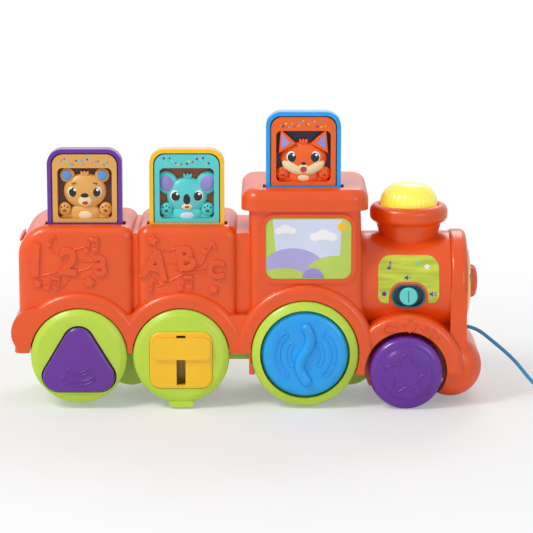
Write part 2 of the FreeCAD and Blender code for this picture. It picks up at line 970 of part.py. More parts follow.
def buttons():
    front = s.disc_back + s.disc_depth
    cap = padded_near("triangle_cap", triangle(0), front - 4, s.button_face)
    face = -float(s.button_face)
    eased(cap, 2.5, lambda e: abs(e.BoundBox.ZMin - float(s.button_face - front + 4)) < 0.01)
    pocket = rod("triangle_pocket", 6.8, 5, disc_x[0], 4 - front, 35, NEAR)
    cap = cut("triangle_hollow", cap, pocket)
    stem = rod("triangle_stem", 4, 9, disc_x[0], 7 - front, 35, NEAR)
    arm_x = disc_x[0] - 9
    arm = box("latch_arm", arm_x, 4 - front, 56, 5, front - 4 - 20, 4)
    tooth_y = -(s.popup_front - s.popup_depth - s.latch_gap)
    tooth = box("latch_tooth", arm_x, tooth_y, 56, 5, 3.6, 11)
    keep("triangle_button", fuse("triangle_whole", cap, stem))
    keep("triangle_latch", fuse("triangle_hook", arm, tooth))
    ring = turned(
        "triangle_spring_turn",
        [
            (4.6, s.disc_back, 0),
            (6.2, s.disc_back, 0),
            (6.2, front - 3.2, 0),
            (4.6, front - 3.2, 0),
        ],
    )
    keep("triangle_spring", place(ring, disc_x[0], 0, 35, NEAR))
    plate = padded_near("square_block", square(0), front - 3, front + 3)
    eased(plate, 2, lambda e: abs(e.BoundBox.ZMin - 6) < 0.01)
    x, z = disc_x[1], disc_z[1] - 2.4
    rise = s.square_height / 2
    bar_top = z + rise - 4.8
    groove = box(
        "square_groove",
        x - s.groove_half,
        -80,
        z - rise + 3,
        s.groove_half * 2,
        60,
        s.square_height - 6,
    )
    keep("slider_plate", cut("square_plate", plate, groove))
    bar = padded_near(
        "bar_block",
        rectangle(x - 23.5, x + 23.5, bar_top - s.bar_height, bar_top, 5),
        front + 3.1,
        s.button_face,
    )
    stem = box("bar_stem", x - 3.2, -(front + 3.5), bar_top - 12, 6.4, 10.5, 8)
    keep("slider_bar", fuse("bar_whole", bar, stem))
    hook = box("slider_hook", x - 8, 7 - front, bar_top - 14, 16, 2.4, 24)
    tip = box("slider_tip", x - 4, 7 - front, bar_top + 6, 8, s.disc_depth - 7.2, 4)
    keep("slider_latch", fuse("slider_hook_whole", hook, tip))
    knob = turned(
        "knob_turn",
        [
            (0, front - 9, 0),
            (s.knob_radius, front - 9, 1),
            (s.knob_radius, front + 1, 3),
            (s.knob_radius * 0.6, front + 3, 20),
            (0, front + 3.2, 0),
        ],
    )
    place(knob, disc_x[2], 0, disc_z[2], NEAR)
    ridge = padded_near(
        "knob_ridge",
        rectangle(disc_x[2] - 5.5, disc_x[2] + 5.5, disc_z[2] - 25, disc_z[2] + 25, 5.4),
        front,
        s.button_face,
    )
    shaft = rod("knob_shaft", 6, s.disc_depth - 9, disc_x[2],
                -(s.disc_back + 0.5), disc_z[2], NEAR)
    keep("twist_knob", fuse("knob_whole", knob, ridge, shaft))


def popup(i, name):
    """One pop up window: coloured frame, panel, animal and its spring."""
    x, seat = popup_x[i], popup_seat[i]
    top, low = seat + s.popup_rise, seat - s.popup_tail
    half, rim = s.popup_half, s.popup_rim
    back = s.popup_front - s.popup_depth
    corner = s.popup_corner
    block = padded_near(
        name + "_block",
        rectangle(x - half, x + half, low, top, 2, 2, corner, corner),
        back,
        s.popup_front,
    )
    inner = half - rim
    pocket = padded_near(
        name + "_pocket",
        rectangle(
            x - inner, x + inner, seat + 1, top - rim, 1, 1, corner - rim, corner - rim
        ),
        back + 3,
        s.popup_front + 5,
    )
    keep(name + "_frame", cut(name + "_carrier", block, pocket))
    inner = inner - s.popup_gap
    panel_top = top - rim - s.popup_gap
    panel = padded_near(
        name + "_plate",
        rectangle(
            x - inner, x + inner, seat + 1.2, panel_top, 1, 1, corner - rim, corner - rim
        ),
        back + 3,
        s.popup_front - 0.6,
    )
    keep(name + "_panel", cut(name + "_window", panel, window(name + "_hole", i, 0)))
    figure(i, name, x, seat, back + 5)
    spring = turned(
        name + "_spring_turn",
        [
            (s.spring_radius - 1.2, s.skirt_height + s.floor_thick + 0.5, 0),
            (s.spring_radius, s.skirt_height + s.floor_thick + 0.5, 0),
            (s.spring_radius, low, 0),
            (s.spring_radius - 1.2, low, 0),
        ],
    )
    keep(name + "_spring", place(spring, x, -(back + s.popup_depth / 2), 0))


def figure(i, name, x, seat, back):
    """The animal in the window: head, ears, body and paws, flat at the back."""
    ears = [(12.5, 37, 6, 6), (16, 33, 7, 8), (12.5, 35.5, 5, 9)][i]
    ear_x, ear_z, ear_wide, ear_tall = ears
    reach = s.popup_front - 0.4 - back
    lumps = [(0, 24, 16.5, 14.5, 1.0), (0, 7, 13, 9, 0.75)]
    lumps += [(side * ear_x, ear_z, ear_wide, ear_tall, 0.6) for side in (-1, 1)]
    lumps += [(side * 16.5, 10, 4.5, 5, 0.85) for side in (-1, 1)]
    items = []
    for k, (dx, dz, wide, tall, rise) in enumerate(lumps):
        item = document.addObject("Part::Ellipsoid", "%s_lump_%d" % (name, k))
        bind(item, Radius1=reach * rise, Radius2=wide, Radius3=tall)
        item.Angle1 = 0
        place(item, x + dx, -back, seat + dz, NEAR)
        items.append(item)
    lumps = fuse(name + "_lumps", *items)
    keep(name + "_figure", common(name + "_body", lumps, window(name + "_clear", i, 0.1)))


def window(name, i, gap):
    """The opening of a pop up panel, made smaller by a gap."""
    inner = s.popup_half - s.popup_rim - s.popup_gap - 4 - gap
    x, seat = popup_x[i], popup_seat[i]
    top = seat + s.popup_rise - s.popup_rim - s.popup_gap - 11 - gap
    corners = rectangle(x - inner, x + inner, seat + 4 + gap, top, 4 - gap)
    return padded_near(name, corners, s.popup_front - s.popup_depth + 5, s.popup_front + 5)


def rails():
    """Channels that guide the three pop up windows, standing on the underframe."""
    items = []
    for i in range(3):
        floor = s.skirt_height + s.floor_thick + 0.5
        height = popup_seat[i] - s.shell_wall - 1.8 - floor
        for k, side in enumerate((-1, 1)):
            inner = popup_x[i] + side * (s.popup_half + s.rail_gap)
            outer = inner + side * s.rail_wall
            lap = inner - side * 3
            name = "rail_%d_%d" % (i, k)
            wall = post(name, inner, outer, floor, height, 1.4 + s.rail_gap)
            lips = cut(
                name + "_lips",
                post(name + "_lap", lap, inner, floor, height, 1.4 + s.rail_gap),
                post(name + "_way", lap, inner, floor, height, s.rail_gap),
            )
            items.append(fuse(name + "_rail", wall, lips))
    relief = box("rail_relief", -20, -29, s.skirt_height, 40, 10, 10)
    keep("popup_rails", cut("rail_set", fuse("rails", *items), relief))


def post(name, x0, x1, floor, height, grow):
    left, right = (x0, x1) if float(x0) < float(x1) else (x1, x0)
    depth = s.popup_depth + grow * 2
    return box(name, left, -(s.popup_front + grow), floor, right - left, depth, height)


def underframe():
    """The lime tray with its two round housings and the cheeks behind the discs."""
    rear, front = coach_one_rear + s.shell_wall + 0.2, cab_front - s.shell_wall
    half = s.coach_half - s.link_inset - s.shell_wall - 0.3
    floor = box("frame_floor", rear, -half, s.skirt_height + 0.5, front - rear, half * 2,
                s.floor_thick)
    corners = rectangle(rear + 12, front - 4, -s.tub_half, s.tub_half, 6)
    tub = padded("tub_block", "XY_Plane", corners, s.skirt_height + 1 - s.tub_bottom)
    place(tub, 0, 0, s.tub_bottom)
    items = [floor, tub]
    for k, x in enumerate(housing_x):
        lobe = rod("housing_%d" % k, s.housing_radius, s.housing_half * 2, x,
                   s.housing_half, s.housing_height, NEAR)
        collar = box("collar_%d" % k, x - 24, -s.housing_half - 1.5, s.tub_bottom - 5.5, 48,
                     s.housing_half * 2 + 3, 8)
        items += [lobe, collar]
    for i in range(3):
        cheek = rod("cheek_%d" % i, disc_radius[i] - 1, s.disc_back - s.tub_half + 3,
                    disc_x[i], 3 - s.tub_half, disc_z[i], NEAR)
        low = box("cheek_low_%d" % i, disc_x[i] - 60, -80, -5, 120, 80, 5 + s.skirt_height + 1)
        half_cheek = common("cheek_cut_%d" % i, cheek, low)
        items += [half_cheek, mirrored("cheek_far_%d" % i, half_cheek)]
    body = fuse("frame_whole", *items)
    wall = s.floor_thick
    well_half = s.cell_length / 2 + 3
    bay = box("cell_bay", bay_x - 22, -well_half, s.tub_bottom + wall, 44, well_half * 2, 40)
    hatch = box("cell_hatch", bay_x - 18, -well_half + 4, 0, 36, well_half * 2 - 8, 60)
    trim = box("housing_trim", rear - 21, -60, s.skirt_height + 0.5 + wall, front - rear + 130,
               120, 40)
    ease = box("tub_relief", coach_one_rear + 17.3, 8 - s.tub_half, s.tub_bottom + wall, 60,
               s.tub_half * 2 - 16, 40)
    keep("chassis", cut("frame", body, bay, hatch, trim, ease))
    keep(
        "battery_door",
        box("door", bay_x - 17.7, -well_half + 4.3, s.tub_bottom, 35.4, well_half * 2 - 8.6, wall),
    )
    cells = [
        rod("cell_%d" % k, s.cell_radius, s.cell_length, bay_x + side * (s.cell_radius + 0.6),
            s.cell_length / 2, s.tub_bottom + wall + s.cell_radius + 0.1, NEAR)
        for k, side in enumerate((-1, 1))
    ]
    keep("battery_cells", fuse("cells", *cells))
    strips = [
        box("contact_%d" % k, bay_x - 17, side * (s.cell_length / 2 + 1.5) - 1.4,
            s.tub_bottom + wall + 2, 34, 2.8, 11)
        for k, side in enumerate((-1, 1))
    ]
    keep("battery_contacts", fuse("contacts", *strips))


def wheels():
    back = s.wheel_face - s.wheel_width
    hub_back = s.core_half + 1.6
    wheel = turned(
        "wheel_turn",
        [
            (s.axle_radius, hub_back, 0),
            (8, hub_back, 0),
            (8, s.wheel_face - 6, 1),
            (s.wheel_radius - 3, s.wheel_face - 6, 1),
            (s.wheel_radius - 3, back, 0),
            (s.wheel_radius, back, 1.5),
            (s.wheel_radius, s.wheel_face - 3, 6),
            (s.wheel_radius - 9, s.wheel_face - 2, 2),
            (s.wheel_radius - 10, s.wheel_face, 1),
            (s.axle_radius, s.wheel_face, 0),
        ],
    )
    place(wheel, wheel_x, 0, s.wheel_radius, NEAR)
    keep("near_front_wheel", wheel)
    keep("far_front_wheel", mirrored("far_wheel", wheel))
    end = s.wheel_face - 3
    keep("front_axle", rod("axle", s.axle_radius, end * 2, wheel_x, end, s.wheel_radius, NEAR))
    bush = turned(
        "bush_turn",
        [
            (s.axle_radius + s.running_gap, s.core_half - 8, 0),
            (s.bush_radius - 0.05, s.core_half - 8, 0),
            (s.bush_radius - 0.05, s.core_half, 0),
            (s.bush_radius + 2, s.core_half, 0),
            (s.bush_radius + 2, s.core_half + 1.2, 0),
            (s.axle_radius + s.running_gap, s.core_half + 1.2, 0),
        ],
    )
    place(bush, wheel_x, 0, s.wheel_radius, NEAR)
    keep("axle_bushes", fuse("bushes", bush, mirrored("far_bush", bush)))
    mid = s.disc_back + s.disc_depth - 5.8
    roller = turned(
        "roller_turn",
        [
            (s.roller_pin + s.running_gap, mid - s.roller_width, 0),
            (s.roller_radius, mid - s.roller_width, 1),
            (s.roller_radius, mid, 1),
            (s.roller_pin + s.running_gap, mid, 0),
        ],
    )
    place(roller, disc_x[1], 0, s.roller_radius, NEAR)
    keep("near_roller", roller)
    keep("far_roller", mirrored("far_roller_mirror", roller))
    pin = rod("pin", s.roller_pin, 12.9, disc_x[1], -s.disc_back, s.roller_radius, NEAR)
    keep("roller_pins", fuse("pins", pin, mirrored("far_pin", pin)))


def controls():
    x = wheel_x + 2
    inner = s.boiler_radius - 8
    cup = cut(
        "switch_cup",
        padded_near("switch_block", switch_outline(1.2), inner, s.boiler_radius - 0.5),
        padded_near("switch_room", switch_outline(-0.4), inner + 2, 70),
        box("switch_stem_slot", x - 6.8, -60, s.switch_height - 2.2, 13.6, 40, 4.4),
    )
    keep("switch_well", cup)
    knob = turned(
        "slide_knob_turn",
        [
            (0, inner + 2.2, 0),
            (s.slide_knob_radius, inner + 2.2, 0),
            (s.slide_knob_radius, s.boiler_radius + 1.2, 1.2),
            (0, s.boiler_radius + 1.4, 0),
        ],
    )
    place(knob, x, 0, s.switch_height, NEAR)
    stem = rod("slide_stem", 2, 4, x, 0.4 - inner + 0.8, s.switch_height, NEAR)
    keep("volume_knob", fuse("slide_knob", knob, stem))
    switch = box("switch_body", x - 8, 1.5 - inner, s.switch_height - 4, 16, 5, 8)
    bracket = box("switch_bracket", x - 3, -inner, s.switch_height - 7, 6, 2, 3)
    keep("volume_switch", fuse("switch_whole", switch, bracket))
    outer = rod("label_outer", s.boiler_radius + 0.5, 48.6, x - 24.3, 0, s.boiler_height, ALONG_X)
    inner_rod = rod("label_inner", s.boiler_radius, 60, x - 30, 0, s.boiler_height, ALONG_X)
    outline = rectangle(x - 24.3, x + 24.3, s.boiler_height - 9.9, s.boiler_height + 27.4,
                        6, 6, 10, 10)
    patch = common("label_patch", cut("label_skin", outer, inner_rod),
                   padded_near("label_shape", outline, 10, 60))
    notch = padded_near("label_notch", switch_outline(3.2), 10, 60)
    foot = box("label_foot", x - s.switch_half - 3.2, -60, 70, (s.switch_half + 3.2) * 2, 50,
               s.switch_height - 70)
    keep("sound_panel", cut("label", patch, notch, foot))
    keep("circuit_board", box("board", cab_front + 8, -27, s.boiler_height + 25.9,
                              s.boiler_length - 18, 54, 1.6))
    keep("speaker", rod("speaker_drum", 17, 9, cab_rear + s.speaker_place, 0,
                        s.skirt_height + 0.5 + s.floor_thick))


def cord():
    """The pull cord: a free stretch to the floor, a flat coil and an end knot."""
    radius = float(s.cord_radius)
    exit_x, exit_z = float(core_front), float(cord_exit_z)
    route = [
        (exit_x - 1.5, 0.0, exit_z),
        (exit_x + 10.0, 0.0, exit_z - 0.4),
        (exit_x + 27.0, -1.0, 43.0),
        (exit_x + 44.0, -4.0, 28.5),
        (exit_x + 56.5, -7.5, 12.5),
        (exit_x + 69.0, -10.0, radius + 0.2),
        (exit_x + 82.0, -11.0, radius + 0.2),
    ]
    points = [FreeCAD.Vector(*p) for p in route]
    lengths = [(b - a).Length for a, b in zip(points, points[1:])]
    edges, last = [], points[0]
    for i in range(1, len(points) - 1):
        before = (points[i - 1] - points[i]).normalize()
        after = (points[i + 1] - points[i]).normalize()
        half = before.getAngle(after) / 2
        reach = 0.45 * min(lengths[i - 1], lengths[i])
        bend = reach * math.tan(half)
        middle = (before + after).normalize()
        centre = points[i] + middle * (bend / math.sin(half))
        start, end = points[i] + before * reach, points[i] + after * reach
        edges.append(Part.LineSegment(last, start).toShape())
        edges.append(Part.Arc(start, centre - middle * bend, end).toShape())
        print("cord bend radius %.1f" % bend)
        last = end
    edges.append(Part.LineSegment(last, points[-1]).toShape())
    keep("pull_cord", tube("cord_tube", edges, radius))
    heading = (points[-1] - points[-2]).normalize()
    heading.z = 0
    heading.normalize()
    coil(points[-1], heading, radius)


def tube(name, edges, radius):
    """A round tube along the edges of a route."""
    wire = Part.Wire(edges)
    start = edges[0].valueAt(edges[0].FirstParameter)
    way = edges[0].tangentAt(edges[0].FirstParameter)
    ring = Part.Wire([Part.makeCircle(radius, start, way)])
    item = document.addObject("Part::Feature", name)
    item.Shape = wire.makePipeShell([ring], True, False)
    expected = math.pi * radius**2 * wire.Length
    print(name, "length %.1f volume ratio %.4f" % (wire.Length, item.Shape.Volume / expected))
    return item


def coil(start, heading, radius):
    """A flat spiral of quarter turns on the floor, left handed, drawn in by a pitch each turn."""
    pitch, turn_radius, quarters = 2 * radius + 1.0, 16.5, 7
    side = FreeCAD.Vector(-heading.y, heading.x, 0)
    lead = start + heading * (2 * radius)
    edges = [Part.LineSegment(start, lead).toShape()]
    place_now, way = lead, heading
    for k in range(quarters):
        bend = turn_radius - pitch * k / 4 if k < quarters - 1 else 5 * radius
        centre = place_now + side * bend
        end = centre + way * bend
        middle = centre + (way - side).normalize() * bend
        edges.append(Part.Arc(place_now, middle, end).toShape())
        place_now, way, side = end, side, -way
    tail = place_now + way * (2 * radius)
    edges.append(Part.LineSegment(place_now, tail).toShape())
    keep("pull_cord_coil", tube("coil_tube", edges, radius))
    points = [v for e in edges for v in e.discretize(24)]
    gap = min(
        (a - b).Length
        for i, a in enumerate(points)
        for j, b in enumerate(points)
        if j > i + 40
    )
    print("coil gap to itself %.2f" % (gap - 2 * radius))
    knot = document.addObject("Part::Sphere", "knot_ball")
    knot.Radius = 2.6
    knot.Placement.Base = tail + way * 2.2 + FreeCAD.Vector(0, 0, 2.62 - tail.z)
    trim = document.addObject("Part::Feature", "knot_trim")
    trim.Shape = Part.makeCylinder(radius + 0.2, 4, tail - way * 4, way)
    keep("pull_cord_knot", cut("knot", knot, trim))


def cord_seat():
    eyelet = turned(
        "eyelet_turn",
        [
            (s.cord_radius + 0.3, 0, 0),
            (s.cord_radius + s.eyelet_collar, 0, 0),
            (s.cord_radius + s.eyelet_collar, 3, 0.8),
            (s.cord_radius + 0.3, 3, 0),
        ],
    )
    place(eyelet, core_front, 0, cord_exit_z, ALONG_X)
    keep("cord_eyelet", eyelet)


def export():
    document.recompute()
    faults = [item.Name for item in document.Objects if "Invalid" in item.State or "Error" in item.State]
    os.makedirs("parts", exist_ok=True)
    for label, item in parts.items():
        shape = item.Shape
        if shape.isNull() or not shape.isValid():
            faults.append(label)
            continue
        bounds = shape.BoundBox
        print("%s solids %d volume %.0f" % (label, len(shape.Solids), shape.Volume))
        print("   x %.1f %.1f y %.1f %.1f z %.1f %.1f" % (bounds.XMin, bounds.XMax, bounds.YMin,
                                                     bounds.YMax, bounds.ZMin, bounds.ZMax))
        for solid in shape.Solids[:4] if len(shape.Solids) > 1 else []:
            print("   solid", round(solid.Volume, 1), solid.CenterOfMass)
    if faults:
        raise RuntimeError("not sound: %s" % ", ".join(faults))
    for label, item in parts.items():
        item.Shape.exportStep("parts/%s.step" % label)


shells()
roof()
front_pieces()
funnel_pieces()
discs()
buttons()
for index, animal in enumerate(("bear", "koala", "fox")):
    popup(index, animal)
rails()
underframe()
wheels()
controls()
cord()
cord_seat()
export()
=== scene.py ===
import math
import random

import bpy
from mathutils import Euler, Matrix, Vector


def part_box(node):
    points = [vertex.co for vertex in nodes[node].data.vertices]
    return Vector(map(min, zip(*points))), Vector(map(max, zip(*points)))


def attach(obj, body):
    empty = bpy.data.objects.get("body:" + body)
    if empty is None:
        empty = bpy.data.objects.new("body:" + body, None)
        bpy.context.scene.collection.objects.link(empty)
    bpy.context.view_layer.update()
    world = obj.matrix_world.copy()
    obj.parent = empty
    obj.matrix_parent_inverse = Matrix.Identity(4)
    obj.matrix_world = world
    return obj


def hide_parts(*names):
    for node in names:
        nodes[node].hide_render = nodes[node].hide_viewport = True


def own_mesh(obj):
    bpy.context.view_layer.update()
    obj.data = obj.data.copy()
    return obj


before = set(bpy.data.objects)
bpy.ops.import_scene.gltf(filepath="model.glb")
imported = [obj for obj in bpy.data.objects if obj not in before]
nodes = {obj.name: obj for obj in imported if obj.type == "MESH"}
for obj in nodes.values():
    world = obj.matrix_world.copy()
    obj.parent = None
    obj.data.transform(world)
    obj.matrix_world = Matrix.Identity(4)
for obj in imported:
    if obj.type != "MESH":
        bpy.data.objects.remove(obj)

scene = bpy.context.scene
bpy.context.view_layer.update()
MM = 0.001
rng = random.Random(11)


# Camera at the photograph's angle
camera_data = bpy.data.cameras.new("camera")
camera_data.lens = 171.0
camera_data.sensor_width = 36.0
camera_data.clip_end = 20.0
camera = bpy.data.objects.new("camera", camera_data)
camera.location = (0.01506, -2.01554, 0.51221)
camera.rotation_euler = (math.radians(78.6), 0.0, 0.0)
scene.collection.objects.link(camera)
scene.camera = camera


# Materials
def linear(red, green, blue):
    """The linear value of a screen colour given in 0 to 255."""
    def one(value):
        value /= 255.0
        return value / 12.92 if value <= 0.04045 else ((value + 0.055) / 1.055) ** 2.4

    return (one(red), one(green), one(blue), 1.0)


def add(tree, kind, **values):
    """A shader node with constants on its sockets, whose names take _ for a space."""
    node = tree.nodes.new("ShaderNode" + kind)
    for socket, value in values.items():
        node.inputs[socket.replace("_", " ")].default_value = value
    return node


def plastic(name, colour, rough=0.3, coat=0.25, grain=0.02, soft=0.0, mottle=0.05,
            stretch=(1, 1, 1)):
    """Moulded plastic: a faint mottling of colour and gloss, and a fine moulded grain."""
    material = bpy.data.materials.new(name)
    material.use_nodes = True
    tree = material.node_tree
    link = tree.links.new
    shader = tree.nodes["Principled BSDF"]
    where = add(tree, "TexCoord")
    cloud = add(tree, "TexNoise", Scale=26.0, Detail=3.0)
    spread = add(tree, "Mapping", Scale=stretch)
    link(where.outputs["Object"], spread.inputs["Vector"])
    link(spread.outputs["Vector"], cloud.inputs["Vector"])
    base = linear(*colour)
    ramp = add(tree, "ValToRGB")
    dark, light = ramp.color_ramp.elements
    dark.position, light.position = 0.3, 0.7
    dark.color = tuple(c * (1 - mottle) for c in base[:3]) + (1.0,)
    light.color = tuple(min(1.0, c * (1 + mottle)) for c in base[:3]) + (1.0,)
    link(cloud.outputs["Fac"], ramp.inputs["Fac"])
    link(ramp.outputs["Color"], shader.inputs["Base Color"])
    gloss = add(tree, "MapRange", To_Min=max(0.05, rough - 0.04), To_Max=rough + 0.05)
    link(cloud.outputs["Fac"], gloss.inputs["Value"])
    link(gloss.outputs["Result"], shader.inputs["Roughness"])
    fine = add(tree, "TexNoise", Scale=1400.0, Detail=2.0)
    link(where.outputs["Object"], fine.inputs["Vector"])
    bump = add(tree, "Bump", Strength=grain, Distance=0.0002)
    link(fine.outputs["Fac"], bump.inputs["Height"])
    link(bump.outputs["Normal"], shader.inputs["Normal"])
    shader.inputs["Coat Weight"].default_value = coat
    shader.inputs["Coat Roughness"].default_value = 0.12
    shader.inputs["Subsurface Weight"].default_value = soft
    shader.inputs["Subsurface Radius"].default_value = (0.004, 0.002, 0.001)
    return material


def metal(name, colour, rough):
    material = plastic(name, colour, rough, 0.0, 0.05)
    material.node_tree.nodes["Principled BSDF"].inputs["Metallic"].default_value = 1.0
    return material


# Name, screen colour, roughness, coat and grain
ORANGE = plastic("orange", (236, 82, 4), 0.32, 0.25, 0.04)
LIME = plastic("lime", (190, 222, 60), 0.3, 0.3, 0.03)
PURPLE = plastic("purple", (100, 32, 156), 0.26, 0.3, 0.03)
BLUE = plastic("blue", (0, 164, 246), 0.26, 0.3, 0.03)
YELLOW = plastic("yellow", (252, 196, 8), 0.26, 0.3, 0.03)
TURQUOISE = plastic("turquoise", (96, 216, 214), 0.34, 0.2, 0.03)
TEAL = plastic("teal", (40, 92, 102), 0.42, 0.1)
LABEL = plastic("label_film", (192, 206, 60), 0.4, 0.1, 0.01, mottle=0.25, stretch=(1.2, 3, 9))
LILAC = plastic("lilac_print", (176, 168, 222), 0.4, 0.1, 0.01)
PALE = plastic("pale_print", (214, 222, 244), 0.4, 0.1, 0.01)
GRASS = plastic("grass_print", (188, 212, 92), 0.4, 0.1, 0.01)
TAN = plastic("tan", (226, 168, 84), 0.42, 0.1, 0.06)
CREAM = plastic("cream", (244, 222, 176), 0.4, 0.1, 0.05)
KOALA = plastic("koala_turquoise", (88, 208, 208), 0.4, 0.12, 0.06)
FOX = plastic("fox_orange", (240, 98, 14), 0.4, 0.12, 0.06)
BLACK = plastic("black_gloss", (10, 9, 12), 0.2, 0.2, 0.0)
DARK = plastic("dark_matt", (34, 30, 36), 0.6, 0.0)
MAROON = plastic("maroon_print", (92, 44, 52), 0.5, 0.05)
BROWN = plastic("brown_print", (150, 78, 30), 0.5, 0.05)
NAVY = plastic("navy_print", (44, 42, 62), 0.5, 0.05)
WHITE = plastic("white_gloss", (246, 246, 246), 0.25, 0.3, 0.0)
RED = plastic("red_print", (196, 50, 36), 0.35, 0.2)
PATCH = plastic("patch_blue", (96, 150, 214), 0.45, 0.05, mottle=0.25)
PATCH_LILAC = plastic("patch_lilac", (150, 140, 206), 0.45, 0.05, mottle=0.3)
CORD = plastic("cord_blue", (46, 150, 206), 0.42, 0.1, 0.2)
STEEL = metal("steel", (190, 190, 194), 0.3)
SPRING = metal("spring_steel", (160, 160, 166), 0.35)
BOARD = plastic("board_green", (34, 110, 64), 0.45, 0.2)
DOME = plastic("dome_yellow", (240, 240, 96), 0.16, 0.5, 0.0, soft=0.25, mottle=0.12)
dome_shader = DOME.node_tree.nodes["Principled BSDF"]
dome_shader.inputs["Emission Color"].default_value = linear(250, 222, 40)
dome_shader.inputs["Emission Strength"].default_value = 0.35

PAINT = {
    ORANGE: "near_shell far_shell cab_roof funnel face_ring front_bumper nose cord_eyelet",
    LIME: "rear_disc middle_disc large_disc far_rear_disc far_middle_disc far_large_disc"
          " chassis battery_door",
    PURPLE: "triangle_button bear_frame near_front_wheel far_front_wheel",
    YELLOW: "slider_plate slider_bar koala_frame face_plate",
    BLUE: "twist_knob fox_frame",
    TAN: "bear_panel bear_figure",
    KOALA: "koala_panel koala_figure",
    FOX: "fox_panel fox_figure",
    TURQUOISE: "volume_knob",
    TEAL: "switch_well",
    LABEL: "sound_panel",
    GRASS: "window_panel",
    DOME: "light_dome lamp",
    STEEL: "battery_contacts front_axle roller_pins battery_cells",
    SPRING: "bear_spring koala_spring fox_spring triangle_spring dome_spring",
    BOARD: "circuit_board",
    DARK: "triangle_latch slider_latch popup_rails axle_bushes near_roller far_roller"
          " volume_switch speaker",
    CORD: "pull_cord pull_cord_coil pull_cord_knot",
}
for material, names in PAINT.items():
    for name in names.split():
        node = nodes[name]
        node.data.materials.clear()
        node.data.materials.append(material)


# Makers of pieces. Places are in millimetres of the frame, and flat outlines are lists of (x, z)
# on a face turned to the near side. A back and a front are distances towards that side.
PRINT_EDGE = 0.02


def settle(piece, body, material):
    """Links a piece and gives it its material and body."""
    scene.collection.objects.link(piece)
    piece.data.materials.append(material)
    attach(piece, body)
    return piece


def plate(name, loops, back, front, body, material, edge, tilt=0.0, at=(0.0, 0.0)):
    """Flat raised shapes with a rounded edge. Loops within a loop are holes."""
    edge = min(edge, (front - back) * 0.48)
    data = bpy.data.curves.new(name, "CURVE")
    data.dimensions = "2D"
    data.fill_mode = "BOTH"
    data.extrude = ((front - back) / 2 - edge) * MM
    data.bevel_depth = edge * MM
    data.bevel_resolution = 2
    data.offset = -edge * MM
    for loop in loops:
        spline = data.splines.new("POLY")
        spline.points.add(len(loop) - 1)
        for point, (x, z) in zip(spline.points, loop):
            point.co = (x * MM, z * MM, 0.0, 1.0)
        spline.use_cyclic_u = True
    piece = bpy.data.objects.new(name, data)
    piece.matrix_world = (
        Matrix.Translation((at[0] * MM, -(back + front) / 2 * MM, at[1] * MM))
        @ Euler((math.radians(90 - tilt), 0, 0)).to_matrix().to_4x4()
    )
    return settle(piece, body, material)


def tube(name, runs, radius, body, material, closed=False, smooth=True, rounds=3):
    """Round ribs along runs of (x, y, z) points."""
    data = bpy.data.curves.new(name, "CURVE")
    data.dimensions = "3D"
    data.bevel_depth = radius * MM
    data.bevel_resolution = rounds
    data.use_fill_caps = True
    for run in runs:
        spline = data.splines.new("NURBS" if smooth else "POLY")
        spline.points.add(len(run) - 1)
        for point, place in zip(spline.points, run):
            point.co = (place[0] * MM, place[1] * MM, place[2] * MM, 1.0)
        spline.use_cyclic_u = closed
        if smooth:
            spline.order_u = 3
            spline.use_endpoint_u = not closed
    return settle(bpy.data.objects.new(name, data), body, material)


def solid(name, verts, faces, place, turn, body, material):
    """A smooth mesh, its points in metres, turned by degrees about X, Y and Z and put in place."""
    mesh = bpy.data.meshes.new(name)
    mesh.from_pydata(verts, [], faces)
    mesh.validate()
    mesh.shade_smooth()
    mesh.transform(
        Matrix.Translation([c * MM for c in place])
        @ Euler([math.radians(a) for a in turn]).to_matrix().to_4x4()
    )
    mesh.update()
    return settle(bpy.data.objects.new(name, mesh), body, material)


def skin(rings, steps, flip=False):
    """Faces between rings of points, each ring closed. Flip turns them to the other side."""
    faces = []
    for i in range(rings - 1):
        for k in range(steps):
            a, b = i * steps + k, i * steps + (k + 1) % steps
            faces.append((a, a + steps, b + steps, b) if flip else (a, b, b + steps, a + steps))
    return faces


def ball(name, place, radii, body, material, turn=(0, 0, 0)):
    """An ellipsoid."""
    steps, rings = 28, 15
    verts = []
    for i in range(rings):
        polar = math.pi * i / (rings - 1)
        for k in range(steps):
            around = 2 * math.pi * k / steps
            verts.append((
                math.sin(polar) * math.cos(around) * radii[0] * MM,
                math.cos(polar) * radii[1] * MM,
                math.sin(polar) * math.sin(around) * radii[2] * MM,
            ))
    return solid(name, verts, skin(rings, steps), place, turn, body, material)


def lathe(name, profile, place, turn, body, material, steps=96, lobes=0, depth=0.0):
    """A turned form about Z from (radius, height) points, with soft lobes round it."""
    verts = []
    for reach, height in profile:
        for i in range(steps):
            angle = 2 * math.pi * i / steps
            wave = reach * (1.0 - depth * (0.5 - 0.5 * math.cos(lobes * angle)))
            verts.append((wave * math.cos(angle) * MM, wave * math.sin(angle) * MM, height * MM))
    return solid(name, verts, skin(len(profile), steps), place, turn, body, material)


def arc(x, z, radius, start, end, y, steps=14):
    """Points of an arc on a face turned to the near side, angles in degrees from +X to +Z."""
    points = []
    for i in range(steps + 1):
        angle = math.radians(start + (end - start) * i / steps)
        points.append((x + radius * math.cos(angle), y, z + radius * math.sin(angle)))
    return points


def band(x, z, inner, outer, facing, spread, y):
    """The closed outline of a curved slot about (x, z), with round ends."""
    start, end = facing - spread, facing + spread
    middle, half = (inner + outer) / 2, (outer - inner) / 2

    def cap(angle, first):
        turn = math.radians(angle)
        centre = (x + middle * math.cos(turn), z + middle * math.sin(turn))
        return arc(*centre, half, first, first + 180, y, 6)[1:-1]

    return (
        arc(x, z, outer, start, end, y) + cap(end, end)
        + arc(x, z, inner, end, start, y) + cap(start, start + 180)
    )


